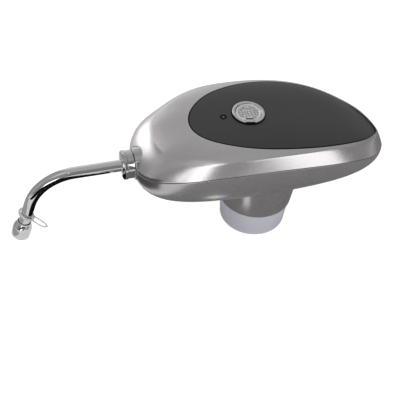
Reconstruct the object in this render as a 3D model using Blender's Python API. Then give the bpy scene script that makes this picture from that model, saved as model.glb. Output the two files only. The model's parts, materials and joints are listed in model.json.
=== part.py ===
# Electric pump for a large water bottle: an egg-shaped two-shell housing that sits on the
# bottle's neck, with a steel spout at its nose, a push button on top, and the pump, motor and
# battery inside. The frame: +Z is up along the neck's axis, the spout leaves towards -X, and
# the origin is on the neck's axis, where the bottle's rim meets the pump's seal.

import bpy
import bmesh
from math import asin, cos, pi, radians, sin, tau
from mathutils import Matrix, Vector

mm = 0.001

# Clearances
gap = 0.3 * mm                   # between pieces that touch, or that turn in each other
facet_room = 0.15 * mm           # extra room between two faceted round pieces
overrun = 2.0 * mm               # how far a cutter runs past the face that it cuts

# Housing seen from above: an egg with its blunt end at the spout
nose_reach = 116.0 * mm
tail_reach = 112.0 * mm
widest_station = -17.0 * mm
half_width = 54.5 * mm
nose_plan_powers = (2.5, 2.4)
tail_plan_powers = (2.6, 2.2)

# Seam between the two shells: an arch that falls towards both ends
seam_crown_height = 68.7 * mm
seam_crown_station = -35.0 * mm
nose_seam_drop = 19.0 * mm
tail_seam_drop = 31.3 * mm
nose_seam_power = 2.1
tail_seam_power = 2.4
seam_opening = 1.0 * mm          # visible groove between the two rims
gasket_set_back = 0.9 * mm       # from the outer skin to the gasket's edge
gasket_band = 1.2 * mm

# Housing in section: a low dome over a deep belly
crown_rise = 16.8 * mm
crown_station = -19.5 * mm
nose_rise_powers = (2.6, 2.0)
tail_rise_powers = (2.0, 2.0)
dome_power = 3.0
belly_depth = 52.2 * mm
belly_station = -21.0 * mm
nose_belly_powers = (2.6, 2.15)
tail_belly_powers = (2.0, 1.8)
belly_power = 2.45
wall = 2.4 * mm
crown_wall = 3.6 * mm            # the dome is thicker, for the panel's pocket
tail_wall = 5.0 * mm

# Dark panel let into the top
panel_nose_set_back = 49.0 * mm
panel_tail_set_back = 5.0 * mm
panel_widest_station = 14.0 * mm
panel_side_margin = 11.5 * mm
panel_nose_powers = (2.15, 2.05)
panel_tail_powers = (2.0, 1.55)
panel_thickness = 1.2 * mm
panel_groove = 0.8 * mm          # dark line round the panel

# Push button, and the bezel that it travels in
button_station = -16.6 * mm
button_radius = 10.5 * mm
button_proud = 1.0 * mm
button_edge = 0.5 * mm
button_roof = 2.0 * mm
button_skirt_wall = 1.3 * mm
button_lip = 1.4 * mm            # keeps the cap from leaving the sleeve
button_lip_thickness = 1.0 * mm
button_stem_radius = 1.9 * mm
button_travel = 1.5 * mm
button_ring_share = 0.58         # place of the pressed ring on the cap, from its middle
button_ring_width = 0.9 * mm
button_ring_depth = 0.3 * mm
notch_width = 7.0 * mm
notch_reach = 2.0 * mm
notch_depth = 0.7 * mm
notch_turn = radians(-11)
bezel_radius = 13.7 * mm
bezel_proud = 1.5 * mm
bezel_edge = 0.6 * mm
button_shadow_gap = 0.7 * mm
sleeve_wall = 1.2 * mm
sleeve_length = 5.0 * mm

# Return spring under the cap
spring_radius = 3.2 * mm
spring_wire_radius = 0.35 * mm
spring_turns = 4
spring_points_per_turn = 8

# Indicator light
light_station = -38.5 * mm
light_radius = 1.4 * mm
light_proud = 0.3 * mm
light_foot_radius = 2.2 * mm
light_foot_thickness = 1.0 * mm

# Control board with its push switch
board_drop = 15.4 * mm           # from the dome's top at the button to the board's top
board_thickness = 1.6 * mm
board_nose_station = -51.0 * mm
board_tail_station = -6.0 * mm
board_half_width = 14.0 * mm
board_post_radius = 2.8 * mm
board_post_inset = 4.5 * mm
switch_side = 8.0 * mm
switch_height = 5.0 * mm
plunger_radius = 1.4 * mm
plunger_reach = 1.6 * mm         # how far the plunger stands out of the switch
plunger_length = 3.5 * mm

# Seat of the spout in the nose. A reach is measured towards the nose from the neck's axis.
spout_axis_height = 47.8 * mm
boss_radius = 14.0 * mm
boss_set_back = 1.2 * mm         # from the nose's end to the boss's face
boss_edge = 0.8 * mm
socket_flange_set_back = 14.0 * mm
socket_flange_radius = 15.0 * mm
socket_flange_thickness = 4.0 * mm
nipple_radius = 9.4 * mm
nipple_length = 3.7 * mm
tube_insert = 10.2 * mm          # length of tube inside the socket
seal_radius = 7.1 * mm
seal_width = 2.4 * mm

# Coupling nut, and the collar on the tube that it pulls against the nipple
nut_radius = 12.5 * mm
nut_length = 9.4 * mm
nut_front_wall = 3.0 * mm
nut_band = 3.4 * mm              # length of the wider band at the nut's front
nut_step = 0.5 * mm
nut_edge = 0.7 * mm
tube_collar_radius = 8.4 * mm
tube_collar_thickness = 2.4 * mm

# Bent spout tube
tube_radius = 5.0 * mm
tube_wall = 0.8 * mm
tube_straight = 40.0 * mm        # from the nut's face to the start of the bend
bend_radius = 40.0 * mm
bend_angle = radians(73.5)
tube_sides = 16
bend_steps = 11

# Outlet tip, measured down its own axis from its upper rim
tip_drop = 20.5 * mm             # from the end of the bend to the upper rim
tip_neck_radius = 5.9 * mm
tip_neck_length = 1.5 * mm
tip_shoulder_length = 4.5 * mm
tip_radius = 8.0 * mm
tip_length = 20.0 * mm
tip_edge = 0.6 * mm
tip_step_depth = 7.0 * mm        # where the tube's end meets the step inside
tip_step_thickness = 1.0 * mm
tip_mouth_wall = 1.2 * mm
screen_set_back = 2.6 * mm
screen_thickness = 1.6 * mm
screen_hole_radius = 0.8 * mm
screen_hole_circle_share = 0.58
screen_hole_count = 6

# Soft ring hanging on the tube, with its pull loop
clip_drop = 12.6 * mm            # from the end of the bend to the ring's middle
clip_bore = 5.9 * mm
clip_wall = 1.6 * mm
clip_thickness = 2.2 * mm
clip_tilt = radians(15)
loop_wire_radius = 0.7 * mm
loop_reach = 21.7 * mm
loop_side = 6.7 * mm
loop_drop = 14.7 * mm
loop_route_shares = (
    (0.31, 0.00, 0.14), (0.48, 0.00, 0.28), (0.72, 0.00, 0.54), (0.94, 0.00, 0.80),
    (1.00, 0.00, 0.97), (0.88, 0.00, 1.00), (0.71, 0.00, 0.90), (0.54, 0.00, 0.73),
    (0.38, 0.30, 0.66), (0.26, 0.67, 0.50), (0.12, 0.98, 0.27), (0.04, 1.00, 0.02))

# Collar below the housing, and the sleeve that grips the neck
collar_rim_height = -11.3 * mm
collar_rim_radius = 33.0 * mm
collar_top_radius = 35.8 * mm
collar_top_height = 30.0 * mm
collar_flange_radius = 37.8 * mm
collar_flange_thickness = 2.5 * mm
collar_web_thickness = 3.0 * mm
collar_wall = 2.6 * mm
collar_steps = 4
adapter_radius = 31.5 * mm
adapter_foot_radius = 29.6 * mm
adapter_foot_height = -38.0 * mm
adapter_roof_thickness = 3.0 * mm
adapter_roof_bore = 28.4 * mm
adapter_hole_radius = 18.0 * mm
neck_radius = 28.0 * mm          # bore of the sleeve at its foot
rim_seal_thickness = 2.0 * mm
rim_seal_bore = 19.0 * mm
rim_seal_radius = 27.4 * mm

# Intake stem with its hose barb
stem_bore = 2.2 * mm
stem_radius = 3.5 * mm
stem_body_radius = 6.1 * mm
stem_flange_radius = 12.0 * mm
stem_flange_thickness = 2.0 * mm
stem_foot_height = -20.0 * mm
stem_shoulder_height = -2.0 * mm
stem_top_height = 44.0 * mm
barb_step = 0.7 * mm
barb_pitch = 4.0 * mm
barb_count = 3

# Chassis plate that carries the works
chassis_thickness = 2.5 * mm
chassis_side_margin = 27.5 * mm
chassis_nose_margin = 28.0 * mm
chassis_tail_margin = 24.0 * mm
chassis_corner = 12.0 * mm
chassis_corner_steps = 3
chassis_hole_radius = 9.0 * mm
chassis_post_radius = 3.2 * mm
chassis_post_inset = 9.0 * mm
chassis_post_side_inset = 3.3 * mm

# Motor and pump, on one axis along X
motor_radius = 14.0 * mm
motor_tail_station = -24.0 * mm
motor_set_back = 56.0 * mm
motor_share = 0.5667             # of the room behind that set-back
motor_wall = 1.4 * mm
motor_cap_thickness = 2.3 * mm
motor_cap_plug = 3.0 * mm
bearing_depth = 4.0 * mm
shaft_radius = 1.5 * mm
armature_radius = 9.5 * mm
armature_share = 0.53
cradle_floor = 2.0 * mm
cradle_height = 10.5 * mm
cradle_half_width = 19.5 * mm
cradle_length = 22.0 * mm
cradle_set_back = 6.0 * mm       # from the motor's tail end
strap_thickness = 1.2 * mm
strap_width = 8.0 * mm
pump_radius = 15.0 * mm
pump_share = 0.1336
pump_wall = 2.6 * mm
pump_cover_thickness = 5.6 * mm
impeller_hub_radius = 4.0 * mm
impeller_vane_width = 1.4 * mm
impeller_vane_count = 6
impeller_lean = radians(-16)
port_radius = 3.5 * mm
port_bore = 2.2 * mm
port_length = 5.5 * mm

# Soft hoses between the stem, the pump and the socket
hose_wall = 1.4 * mm
hose_side_share = 0.569          # how far aside the inlet hose passes the motor
hose_lift = 22.0 * mm            # how far the inlet hose carries on up before it turns
hose_overlap = 7.0 * mm          # length of hose pushed over the stem
hose_sides = 8
hose_bend_steps = 6

# Battery: two round cells side by side in a tray
cell_side_room = 5.7 * mm        # for the tray's wall, between the cells and the posts
cell_end_room = 23.0 * mm        # from the cells' length to the chassis plate's end
cell_cap_radius = 2.8 * mm
cell_cap_height = 1.0 * mm
cell_spacing = 0.7 * mm
cell_edge = 0.8 * mm
battery_station = 19.0 * mm      # the end of the tray next to the neck
tray_wall = 1.2 * mm
tray_height = 9.0 * mm
contact_thickness = 0.5 * mm
contact_height = 12.0 * mm

# Posts and wells for the screws
shell_post_radius = 4.4 * mm
shell_post_split_height = 48.0 * mm
nose_post_set_back = 34.0 * mm
nose_post_side_margin = 21.5 * mm
tail_post_set_back = 42.0 * mm
tail_post_side_margin = 22.0 * mm
post_bite = 0.8 * mm             # how deep a post grows into the shell's wall
well_radius = 3.2 * mm
well_roof = 3.0 * mm
screw_radius = 1.4 * mm
screw_head_radius = 2.7 * mm
screw_head_height = 1.8 * mm
shell_screw_length = 12.0 * mm
chassis_screw_length = 9.0 * mm
board_screw_length = 6.5 * mm

# Charging socket in the tail
charge_axis_height = 30.0 * mm
charge_set_back = 6.5 * mm       # from the tail's end to the socket's face
charge_length = 12.0 * mm
charge_radius = 4.0 * mm
charge_bore = 2.9 * mm
charge_depth = 8.0 * mm
charge_pin_radius = 0.9 * mm
charge_pin_length = 6.0 * mm

# How finely round shapes are drawn
plan_sides = 48
dome_steps = 6
belly_steps = 6
panel_steps = 6
round_sides = 28
middle_sides = 18
small_sides = 8

# Colour, roughness and metallic value of each finish
finishes = {
    "silver paint": ((0.60, 0.58, 0.59), 0.30, 0.85),
    "satin black": ((0.035, 0.035, 0.038), 0.42, 0.0),
    "satin silver": ((0.45, 0.44, 0.45), 0.30, 0.9),
    "chrome": ((0.80, 0.80, 0.81), 0.08, 1.0),
    "steel": ((0.55, 0.56, 0.57), 0.30, 1.0),
    "dark rubber": ((0.02, 0.02, 0.02), 0.80, 0.0),
    "frosted plastic": ((0.62, 0.62, 0.68), 0.45, 0.0),
    "soft clear plastic": ((0.70, 0.69, 0.68), 0.35, 0.0),
    "black plastic": ((0.03, 0.03, 0.03), 0.50, 0.0),
    "white plastic": ((0.75, 0.75, 0.73), 0.50, 0.0),
    "circuit board": ((0.02, 0.16, 0.06), 0.45, 0.0),
    "cell wrap": ((0.10, 0.22, 0.45), 0.35, 0.0),
}


# Ways of making solids

def clear_scene():
    for old in list(bpy.data.objects):
        bpy.data.objects.remove(old, do_unlink=True)


def paint(piece, finish_name):
    """Gives a finished shape its material, and shades its round faces smooth."""
    colour, roughness, metallic = finishes[finish_name]
    material = bpy.data.materials.new(f"{piece.name} {finish_name}")
    material.use_nodes = True
    shader = material.node_tree.nodes["Principled BSDF"]
    shader.inputs["Base Color"].default_value = (*colour, 1.0)
    shader.inputs["Roughness"].default_value = roughness
    shader.inputs["Metallic"].default_value = metallic
    piece.data.materials.clear()
    piece.data.materials.append(material)
    piece.data.shade_smooth()
    piece.data.set_sharp_from_angle(angle=radians(35))
    return piece


def place(bm, name):
    bmesh.ops.recalc_face_normals(bm, faces=bm.faces)
    mesh = bpy.data.meshes.new(name)
    bm.to_mesh(mesh)
    bm.free()
    piece = bpy.data.objects.new(name, mesh)
    bpy.context.scene.collection.objects.link(piece)
    return piece


def skin(bm, loops, closed):
    """Joins neighbouring rings of equal count with four-sided faces."""
    rings = [[bm.verts.new(point) for point in loop] for loop in loops]
    pairs = list(zip(rings, rings[1:]))
    if closed:
        pairs.append((rings[-1], rings[0]))
    for first, second in pairs:
        for i, corner in enumerate(first):
            j = (i + 1) % len(first)
            bm.faces.new((corner, first[j], second[j], second[i]))
    return rings


def ring_solid(name, loops):
    """A solid with a hole through it: its last ring meets the first again."""
    bm = bmesh.new()
    skin(bm, loops, closed=True)
    return place(bm, name)


def capped_solid(name, loops):
    """A solid whose first and last rings are filled."""
    bm = bmesh.new()
    rings = skin(bm, loops, closed=False)
    bm.faces.new(rings[0])
    bm.faces.new(rings[-1])
    return place(bm, name)


def circle(radius, height, sides, centre=(0.0, 0.0)):
    return [Vector((centre[0] - radius * cos(tau * i / sides),
                    centre[1] - radius * sin(tau * i / sides), height))
            for i in range(sides)]


def turned(name, profile, origin=(0, 0, 0), axis=(0, 0, 1), sides=round_sides):
    """Turns a profile of (radius, height) pairs round an axis through the origin. A profile
    that starts and ends on the axis makes a full body, and any other makes a ring."""
    if profile[0][0] == 0:
        piece = capped_solid(name, [circle(radius, height, sides)
                                    for radius, height in profile[1:-1]])
    else:
        piece = ring_solid(name, [circle(radius, height, sides)
                                  for radius, height in profile])
    piece.rotation_mode = "QUATERNION"
    piece.rotation_quaternion = Vector((0, 0, 1)).rotation_difference(Vector(axis))
    piece.location = origin
    return piece


def ring_profile(inner, outer, low, high):
    return [(inner, low), (outer, low), (outer, high), (inner, high)]


def rod(radius, low, high, origin=(0, 0, 0), axis=(0, 0, 1), sides=small_sides):
    """A plain round bar, for adding a port or cutting a hole."""
    return turned("rod", [(0, low), (radius, low), (radius, high), (0, high)],
                  origin, axis, sides)


def block(name, low, high):
    bm = bmesh.new()
    bmesh.ops.create_cube(bm, size=1.0)
    size = [b - a for a, b in zip(low, high)]
    middle = [(a + b) / 2 for a, b in zip(low, high)]
    bm.transform(Matrix.Translation(middle) @ Matrix.Diagonal((*size, 1.0)))
    return place(bm, name)


def plate(name, outline, low, high):
    """An outline of (x, y) pairs raised between two heights."""
    return capped_solid(name, [[Vector((x, y, height)) for x, y in outline]
                               for height in (low, high)])


def combine(piece, other, operation):
    """Cuts another solid out of a piece or joins it on, and removes the other."""
    modifier = piece.modifiers.new(operation.lower(), "BOOLEAN")
    modifier.operation = operation
    modifier.object = other
    modifier.solver = "EXACT"
    bpy.context.view_layer.update()
    shaped = piece.evaluated_get(bpy.context.evaluated_depsgraph_get())
    mesh = bpy.data.meshes.new_from_object(shaped)
    piece.modifiers.clear()
    piece.data = mesh
    bpy.data.objects.remove(other, do_unlink=True)


def cut(piece, *cutters):
    for cutter in cutters:
        combine(piece, cutter, "DIFFERENCE")


def join(piece, *additions):
    for addition in additions:
        combine(piece, addition, "UNION")


def swept(name, path, outer, bore, sides):
    """A round tube along a path of points, or a rod where the bore is zero."""
    points = [Vector(point) for point in path]
    last = len(points) - 1
    tangents = [(points[min(i + 1, last)] - points[max(i - 1, 0)]).normalized()
                for i in range(last + 1)]
    side = tangents[0].orthogonal().normalized()
    frames = []
    for tangent in tangents:
        side = (side - tangent * side.dot(tangent)).normalized()
        frames.append((side, tangent.cross(side)))

    def ring(i, radius):
        across, up = frames[i]
        return [points[i] + across * radius * cos(tau * k / sides)
                + up * radius * sin(tau * k / sides) for k in range(sides)]

    outside = [ring(i, outer) for i in range(last + 1)]
    if bore == 0:
        return capped_solid(name, outside)
    return ring_solid(name, outside + [ring(i, bore) for i in range(last, -1, -1)])


def bend(start, leaving, end, arriving, steps):
    """Points after the start along a smooth bend, whose two handles give its direction."""
    handles = (start, start + leaving, end - arriving, end)
    points = []
    for k in range(1, steps + 1):
        t = k / steps
        weights = ((1 - t) ** 3, 3 * t * (1 - t) ** 2, 3 * t * t * (1 - t), t ** 3)
        points.append(sum((weight * handle for weight, handle in zip(weights, handles)),
                          Vector((0, 0, 0))))
    return points


def rounded(points, steps):
    """A smooth curve through points, with a number of steps between each two."""
    curve = [points[0]]
    for i in range(len(points) - 1):
        leaving = (points[i + 1] - points[max(i - 1, 0)]) / 6
        arriving = (points[min(i + 2, len(points) - 1)] - points[i]) / 6
        curve += bend(points[i], leaving, points[i + 1], arriving, steps)
    return curve


def turn_about(piece, point):
    """Moves a piece's origin to a point on its joint's axis, with its shape left in place."""
    piece.data.transform(Matrix.Translation(-point))
    piece.location = point


def ride_on(piece, carrier):
    bpy.context.view_layer.update()
    piece.parent = carrier
    piece.matrix_parent_inverse = carrier.matrix_world.inverted()


# Shape of the housing

def bow(share, powers):
    """One at the middle of a bow and zero at its end."""
    return max(0.0, 1.0 - abs(share) ** powers[0]) ** (1.0 / powers[1])


def bow_along(x, middle, nose, tail, nose_powers, tail_powers):
    """A bow along the housing, with its own fullness towards the nose and the tail."""
    if x < middle:
        return bow((middle - x) / (middle - nose), nose_powers)
    return bow((x - middle) / (tail - middle), tail_powers)


def seam_height(x):
    if x < seam_crown_station:
        share = (seam_crown_station - x) / (nose_reach + seam_crown_station)
        return seam_crown_height - nose_seam_drop * share ** nose_seam_power
    share = (x - seam_crown_station) / (tail_reach - seam_crown_station)
    return seam_crown_height - tail_seam_drop * share ** tail_seam_power


def egg_outline(nose, tail, half_at):
    """Points round an egg, from the nose along the near side (-Y) to the tail and back."""
    middle = (nose + tail) / 2
    reach = (tail - nose) / 2
    points = []
    for i in range(plan_sides):
        angle = tau * i / plan_sides
        x = middle - reach * cos(angle)
        side = half_at(x) if i % (plan_sides // 2) else 0.0
        points.append((x, -side if angle < pi else side))
    return points


class Skin:
    """One skin of the housing: the outer one, or a lining that lies inside it."""

    def __init__(self, side=0.0, crown=0.0, nose=0.0, tail=0.0):
        self.nose = nose - nose_reach
        self.tail = tail_reach - tail
        self.half = half_width - side
        self.rise = crown_rise - crown
        self.depth = belly_depth - side

    def half_at(self, x):
        return self.half * bow_along(x, widest_station, self.nose, self.tail,
                                     nose_plan_powers, tail_plan_powers)

    def outline(self):
        return egg_outline(self.nose, self.tail, self.half_at)

    def across(self, x, y, power):
        half = self.half_at(x)
        if half <= abs(y):
            return 0.0
        return (1.0 - (abs(y) / half) ** power) ** (1.0 / power)

    def top(self, x, y):
        rise = self.rise * bow_along(x, crown_station, self.nose, self.tail,
                                     nose_rise_powers, tail_rise_powers)
        return seam_height(x) + seam_opening / 2 + rise * self.across(x, y, dome_power)

    def bottom(self, x, y):
        depth = self.depth * bow_along(x, belly_station, self.nose, self.tail,
                                       nose_belly_powers, tail_belly_powers)
        return seam_height(x) - seam_opening / 2 - depth * self.across(x, y, belly_power)


def panel_outline(inset):
    """Outline of the dark panel, or of its pocket where the inset is negative."""
    nose = panel_nose_station + inset
    tail = panel_tail_station - inset
    return egg_outline(nose, tail, lambda x: (panel_half_width - inset) * bow_along(
        x, panel_widest_station, nose, tail, panel_nose_powers, panel_tail_powers))


def round_outline(radius, station=0.0):
    return [(point.x, point.y) for point in circle(radius, 0.0, plan_sides, (station, 0.0))]


def between(inner, outer, share):
    return [(a[0] + share * (b[0] - a[0]), a[1] + share * (b[1] - a[1]))
            for a, b in zip(inner, outer)]


def lifted(outline, height_at):
    return [Vector((x, y, height_at(x, y))) for x, y in outline]


def even_shares(steps):
    return [k / steps for k in range(steps + 1)]


def rim_shares(steps):
    """Shares from 0 to 1 that crowd towards 1, where a skin turns steep."""
    return [1.0 - (1.0 - k / steps) ** 2.2 for k in range(steps + 1)]


# Places that follow from the housing's size
panel_nose_station = panel_nose_set_back - nose_reach
panel_tail_station = tail_reach - panel_tail_set_back
panel_half_width = half_width - panel_side_margin
chassis_half_width = half_width - chassis_side_margin
chassis_nose_reach = nose_reach - chassis_nose_margin
chassis_tail_reach = tail_reach - chassis_tail_margin
chassis_post_side = chassis_half_width - chassis_post_side_inset
cell_radius = (chassis_post_side - cell_side_room) / 2
cell_length = chassis_tail_reach - cell_end_room
nose_post_station = nose_post_set_back - nose_reach
nose_post_side = half_width - nose_post_side_margin
tail_post_station = tail_reach - tail_post_set_back
tail_post_side = half_width - tail_post_side_margin
hose_side_reach = half_width * hose_side_share
charge_reach = tail_reach - charge_set_back
boss_reach = nose_reach - boss_set_back
socket_flange_reach = nose_reach - socket_flange_set_back
motor_length = (nose_reach - motor_set_back) * motor_share
armature_length = motor_length * armature_share
pump_length = nose_reach * pump_share

outer_skin = Skin()
dome_lining = Skin(side=wall, crown=crown_wall, nose=wall, tail=tail_wall)
belly_lining = Skin(side=wall, nose=wall, tail=wall)

# Heights, stations and radii that follow from the sizes above
crown_height = outer_skin.top(button_station, 0.0)
board_top_height = crown_height - board_drop
sleeve_bore = button_radius + button_shadow_gap
sleeve_radius = sleeve_bore + sleeve_wall
button_hole_radius = sleeve_radius + gap + facet_room
light_hole_radius = light_radius + gap
board_bottom_height = board_top_height - board_thickness
switch_foot = board_top_height + gap
switch_top = switch_foot + switch_height
plunger_top = switch_top + plunger_reach
screw_hole_radius = screw_radius + gap

chassis_bottom = collar_top_height + collar_flange_thickness + gap
chassis_top = chassis_bottom + chassis_thickness
cradle_foot = chassis_top + gap
motor_axis_height = cradle_foot + cradle_floor + gap + motor_radius
motor_nose_reach = motor_length - motor_tail_station
pump_back_reach = motor_nose_reach + gap
pump_front_reach = pump_back_reach + pump_length
cover_back_reach = pump_front_reach + gap
cover_front_reach = cover_back_reach + pump_cover_thickness
chamber_radius = pump_radius - pump_wall
chamber_back_reach = pump_back_reach + pump_wall
shaft_hole_radius = shaft_radius + gap
port_station = -(chamber_back_reach + pump_front_reach) / 2
port_tip_side = pump_radius + port_length
hose_bore = port_radius + gap
hose_radius = hose_bore + hose_wall

adapter_roof_bottom = rim_seal_thickness + gap
adapter_roof_top = adapter_roof_bottom + adapter_roof_thickness
collar_web_bottom = adapter_roof_top + gap
collar_web_top = collar_web_bottom + collar_web_thickness
collar_bore = adapter_radius + gap
stem_hole_radius = stem_body_radius + gap
stem_flange_bottom = collar_web_top + gap
stem_flange_top = stem_flange_bottom + stem_flange_thickness

towards_nose = (-1, 0, 0)
spout_origin = Vector((0, 0, spout_axis_height))
motor_origin = Vector((0, 0, motor_axis_height))
tube_bore = tube_radius - tube_wall
tube_seat_radius = tube_radius + gap
nipple_reach = boss_reach + nipple_length
tube_stop_reach = nipple_reach - tube_insert
socket_back_reach = socket_flange_reach - socket_flange_thickness
nut_back_reach = boss_reach + gap
nut_front_reach = nut_back_reach + nut_length
nut_hollow_reach = nut_front_reach - nut_front_wall
tube_collar_back_reach = nipple_reach + gap
bend_start = Vector((-nut_front_reach - tube_straight, 0, spout_axis_height))
bend_middle = bend_start - Vector((0, 0, bend_radius))
bend_end = bend_middle + bend_radius * Vector((-sin(bend_angle), 0, cos(bend_angle)))
outlet_axis = Vector((-cos(bend_angle), 0, -sin(bend_angle)))
tip_origin = bend_end + outlet_axis * tip_drop
clip_origin = bend_end + outlet_axis * clip_drop

shell_post_places = [(nose_post_station, nose_post_side), (nose_post_station, -nose_post_side),
                     (tail_post_station, tail_post_side), (tail_post_station, -tail_post_side)]
chassis_post_places = [(station, side)
                       for station in (chassis_post_inset - chassis_nose_reach,
                                       chassis_tail_reach - chassis_post_inset)
                       for side in (chassis_post_side, -chassis_post_side)]
board_post_places = [(board_nose_station + board_post_inset, side)
                     for side in (board_half_width - board_post_inset,
                                  board_post_inset - board_half_width)]


def shell_post(x, y, radius, low_at, high_at):
    """A post whose ends can follow the wall that it grows from."""
    foot = [(point.x, point.y) for point in circle(radius, 0.0, small_sides, (x, y))]
    return capped_solid("post", [lifted(foot, low_at), lifted(foot, high_at)])


def level(height):
    return lambda x, y: height


def into_dome(x, y):
    return dome_lining.top(x, y) + post_bite


def into_belly(x, y):
    return belly_lining.bottom(x, y) - post_bite


def nose_seat():
    """Round seat for the spout's socket, cut through both shells and the gasket."""
    return rod(boss_radius + gap + facet_room, socket_flange_reach, nose_reach + boss_radius,
               spout_origin, towards_nose, round_sides)


# The pieces

def make_upper_shell():
    """Dome with a pocket for the panel: one skin of rings from the outer rim over the top,
    down into the pocket, through the button's hole and out along the lining."""
    pocket = panel_outline(-panel_groove)
    hole = round_outline(button_hole_radius, button_station)

    def pocket_floor(x, y):
        return outer_skin.top(x, y) - panel_thickness - gap

    loops = [lifted(between(pocket, outer_skin.outline(), share), outer_skin.top)
             for share in reversed(rim_shares(dome_steps))]
    loops += [lifted(between(hole, pocket, share), pocket_floor)
              for share in reversed(rim_shares(panel_steps))]
    loops += [lifted(between(hole, dome_lining.outline(), share), dome_lining.top)
              for share in rim_shares(dome_steps)]
    shell = ring_solid("upper_shell", loops)

    for x, y in shell_post_places:
        join(shell, shell_post(x, y, shell_post_radius, level(shell_post_split_height),
                               into_dome))
        cut(shell, rod(screw_hole_radius, shell_post_split_height - overrun,
                       shell_post_split_height + shell_screw_length, (x, y, 0)))
    for x, y in board_post_places:
        join(shell, shell_post(x, y, board_post_radius, level(board_top_height + gap),
                               into_dome))
        cut(shell, rod(screw_hole_radius, board_top_height - overrun,
                       board_top_height + board_screw_length, (x, y, 0)))
    cut(shell, rod(light_hole_radius, board_top_height, crown_height + overrun,
                   (light_station, 0, 0)), nose_seat())
    paint(shell, "silver paint")


def make_lower_shell():
    """Belly with a round hole for the collar, tubes for the shell screws and posts for the
    chassis."""
    hole = round_outline(collar_top_radius + gap + facet_room)
    loops = [lifted(between(hole, outer_skin.outline(), share), outer_skin.bottom)
             for share in reversed(rim_shares(belly_steps))]
    loops += [lifted(between(hole, belly_lining.outline(), share), belly_lining.bottom)
              for share in rim_shares(belly_steps)]
    shell = ring_solid("lower_shell", loops)

    tube_top = shell_post_split_height - gap
    for x, y in shell_post_places:
        below = outer_skin.bottom(x, y) - shell_post_radius - overrun
        join(shell, shell_post(x, y, shell_post_radius, into_belly, level(tube_top)))
        cut(shell, rod(well_radius, below, tube_top - well_roof, (x, y, 0)),
            rod(screw_hole_radius, below, tube_top + overrun, (x, y, 0)))
    for x, y in chassis_post_places:
        join(shell, shell_post(x, y, chassis_post_radius, into_belly,
                               level(chassis_bottom - gap)))
        cut(shell, rod(screw_hole_radius, chassis_top - chassis_screw_length,
                       chassis_top, (x, y, 0)))
    cut(shell, nose_seat(),
        rod(charge_radius + gap, charge_reach - charge_length, tail_reach + overrun,
            (0, 0, charge_axis_height), (1, 0, 0), middle_sides))
    paint(shell, "silver paint")


def make_gasket():
    """Thin strip between the rims, set back so that the seam reads as a dark line."""
    outer = Skin(side=gasket_set_back, nose=gasket_set_back, tail=gasket_set_back).outline()
    inset = gasket_set_back + gasket_band
    inner = Skin(side=inset, nose=inset, tail=inset).outline()
    half = seam_opening / 2 - gap

    def strip_top(x, y):
        return seam_height(x) + half

    def strip_bottom(x, y):
        return seam_height(x) - half

    gasket = ring_solid("shell_gasket", [
        lifted(outer, strip_top), lifted(outer, strip_bottom),
        lifted(inner, strip_bottom), lifted(inner, strip_top)])
    cut(gasket, nose_seat())
    paint(gasket, "dark rubber")


def make_top_panel():
    edge = panel_outline(0.0)
    hole = round_outline(button_hole_radius, button_station)

    def underside(x, y):
        return outer_skin.top(x, y) - panel_thickness

    loops = [lifted(between(hole, edge, share), outer_skin.top)
             for share in reversed(rim_shares(panel_steps))]
    loops += [lifted(between(hole, edge, share), underside)
              for share in rim_shares(panel_steps)]
    panel = ring_solid("top_panel", loops)
    cut(panel, rod(light_hole_radius, board_top_height, crown_height + overrun,
                   (light_station, 0, 0)))
    paint(panel, "satin black")


def make_bezel():
    """Ring whose flange follows the curved panel, on a level sleeve."""

    def loop(radius, offset, follows):
        points = circle(radius, crown_height + offset, round_sides, (button_station, 0.0))
        if follows:
            for point in points:
                point.z = outer_skin.top(point.x, point.y) + offset
        return points

    shoulder = bezel_proud - bezel_edge
    bezel = ring_solid("button_bezel", [
        loop(sleeve_bore, -sleeve_length, False),
        loop(sleeve_radius, -sleeve_length, False),
        loop(sleeve_radius, gap, True),
        loop(bezel_radius, gap, True),
        loop(bezel_radius, shoulder, True),
        loop(bezel_radius - bezel_edge, bezel_proud, True),
        loop(sleeve_bore + bezel_edge, bezel_proud, True),
        loop(sleeve_bore, shoulder, True)])
    paint(bezel, "chrome")


def make_button_cap():
    ring = button_radius * button_ring_share
    under_roof = button_proud - button_roof
    lip_top = -sleeve_length - gap
    lip_radius = button_radius + button_lip
    inside = button_radius - button_skirt_wall
    stem_foot = plunger_top + gap - crown_height
    cap = turned("button_cap", [
        (0, button_proud), (ring, button_proud), (ring, button_proud - button_ring_depth),
        (ring + button_ring_width, button_proud - button_ring_depth),
        (ring + button_ring_width, button_proud),
        (button_radius - button_edge, button_proud),
        (button_radius, button_proud - button_edge), (button_radius, lip_top),
        (lip_radius, lip_top), (lip_radius, lip_top - button_lip_thickness),
        (inside, lip_top - button_lip_thickness), (inside, under_roof),
        (button_stem_radius, under_roof), (button_stem_radius, stem_foot), (0, stem_foot)],
        (button_station, 0, crown_height), sides=middle_sides)
    notch = block("notch", (-notch_width / 2, -button_radius - overrun,
                            button_proud - notch_depth),
                  (notch_width / 2, notch_reach - button_radius, button_proud + overrun))
    notch.location = cap.location
    notch.rotation_euler.z = notch_turn
    cut(cap, notch)
    paint(cap, "satin silver")


def make_button_spring():
    low = switch_top + gap + spring_wire_radius
    high = crown_height + button_proud - button_roof - gap - spring_wire_radius
    count = spring_turns * spring_points_per_turn
    path = []
    for k in range(count + 1):
        angle = tau * k / spring_points_per_turn
        path.append(Vector((button_station + spring_radius * cos(angle),
                            spring_radius * sin(angle), low + (high - low) * k / count)))
    half_turn = spring_points_per_turn // 2
    least = min((a - b).length for i, a in enumerate(path) for b in path[i + half_turn:])
    print(f"button_spring: least gap {(least - 2 * spring_wire_radius) / mm:.2f} mm")
    paint(swept("button_spring", path, spring_wire_radius, 0, 5), "steel")


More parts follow.
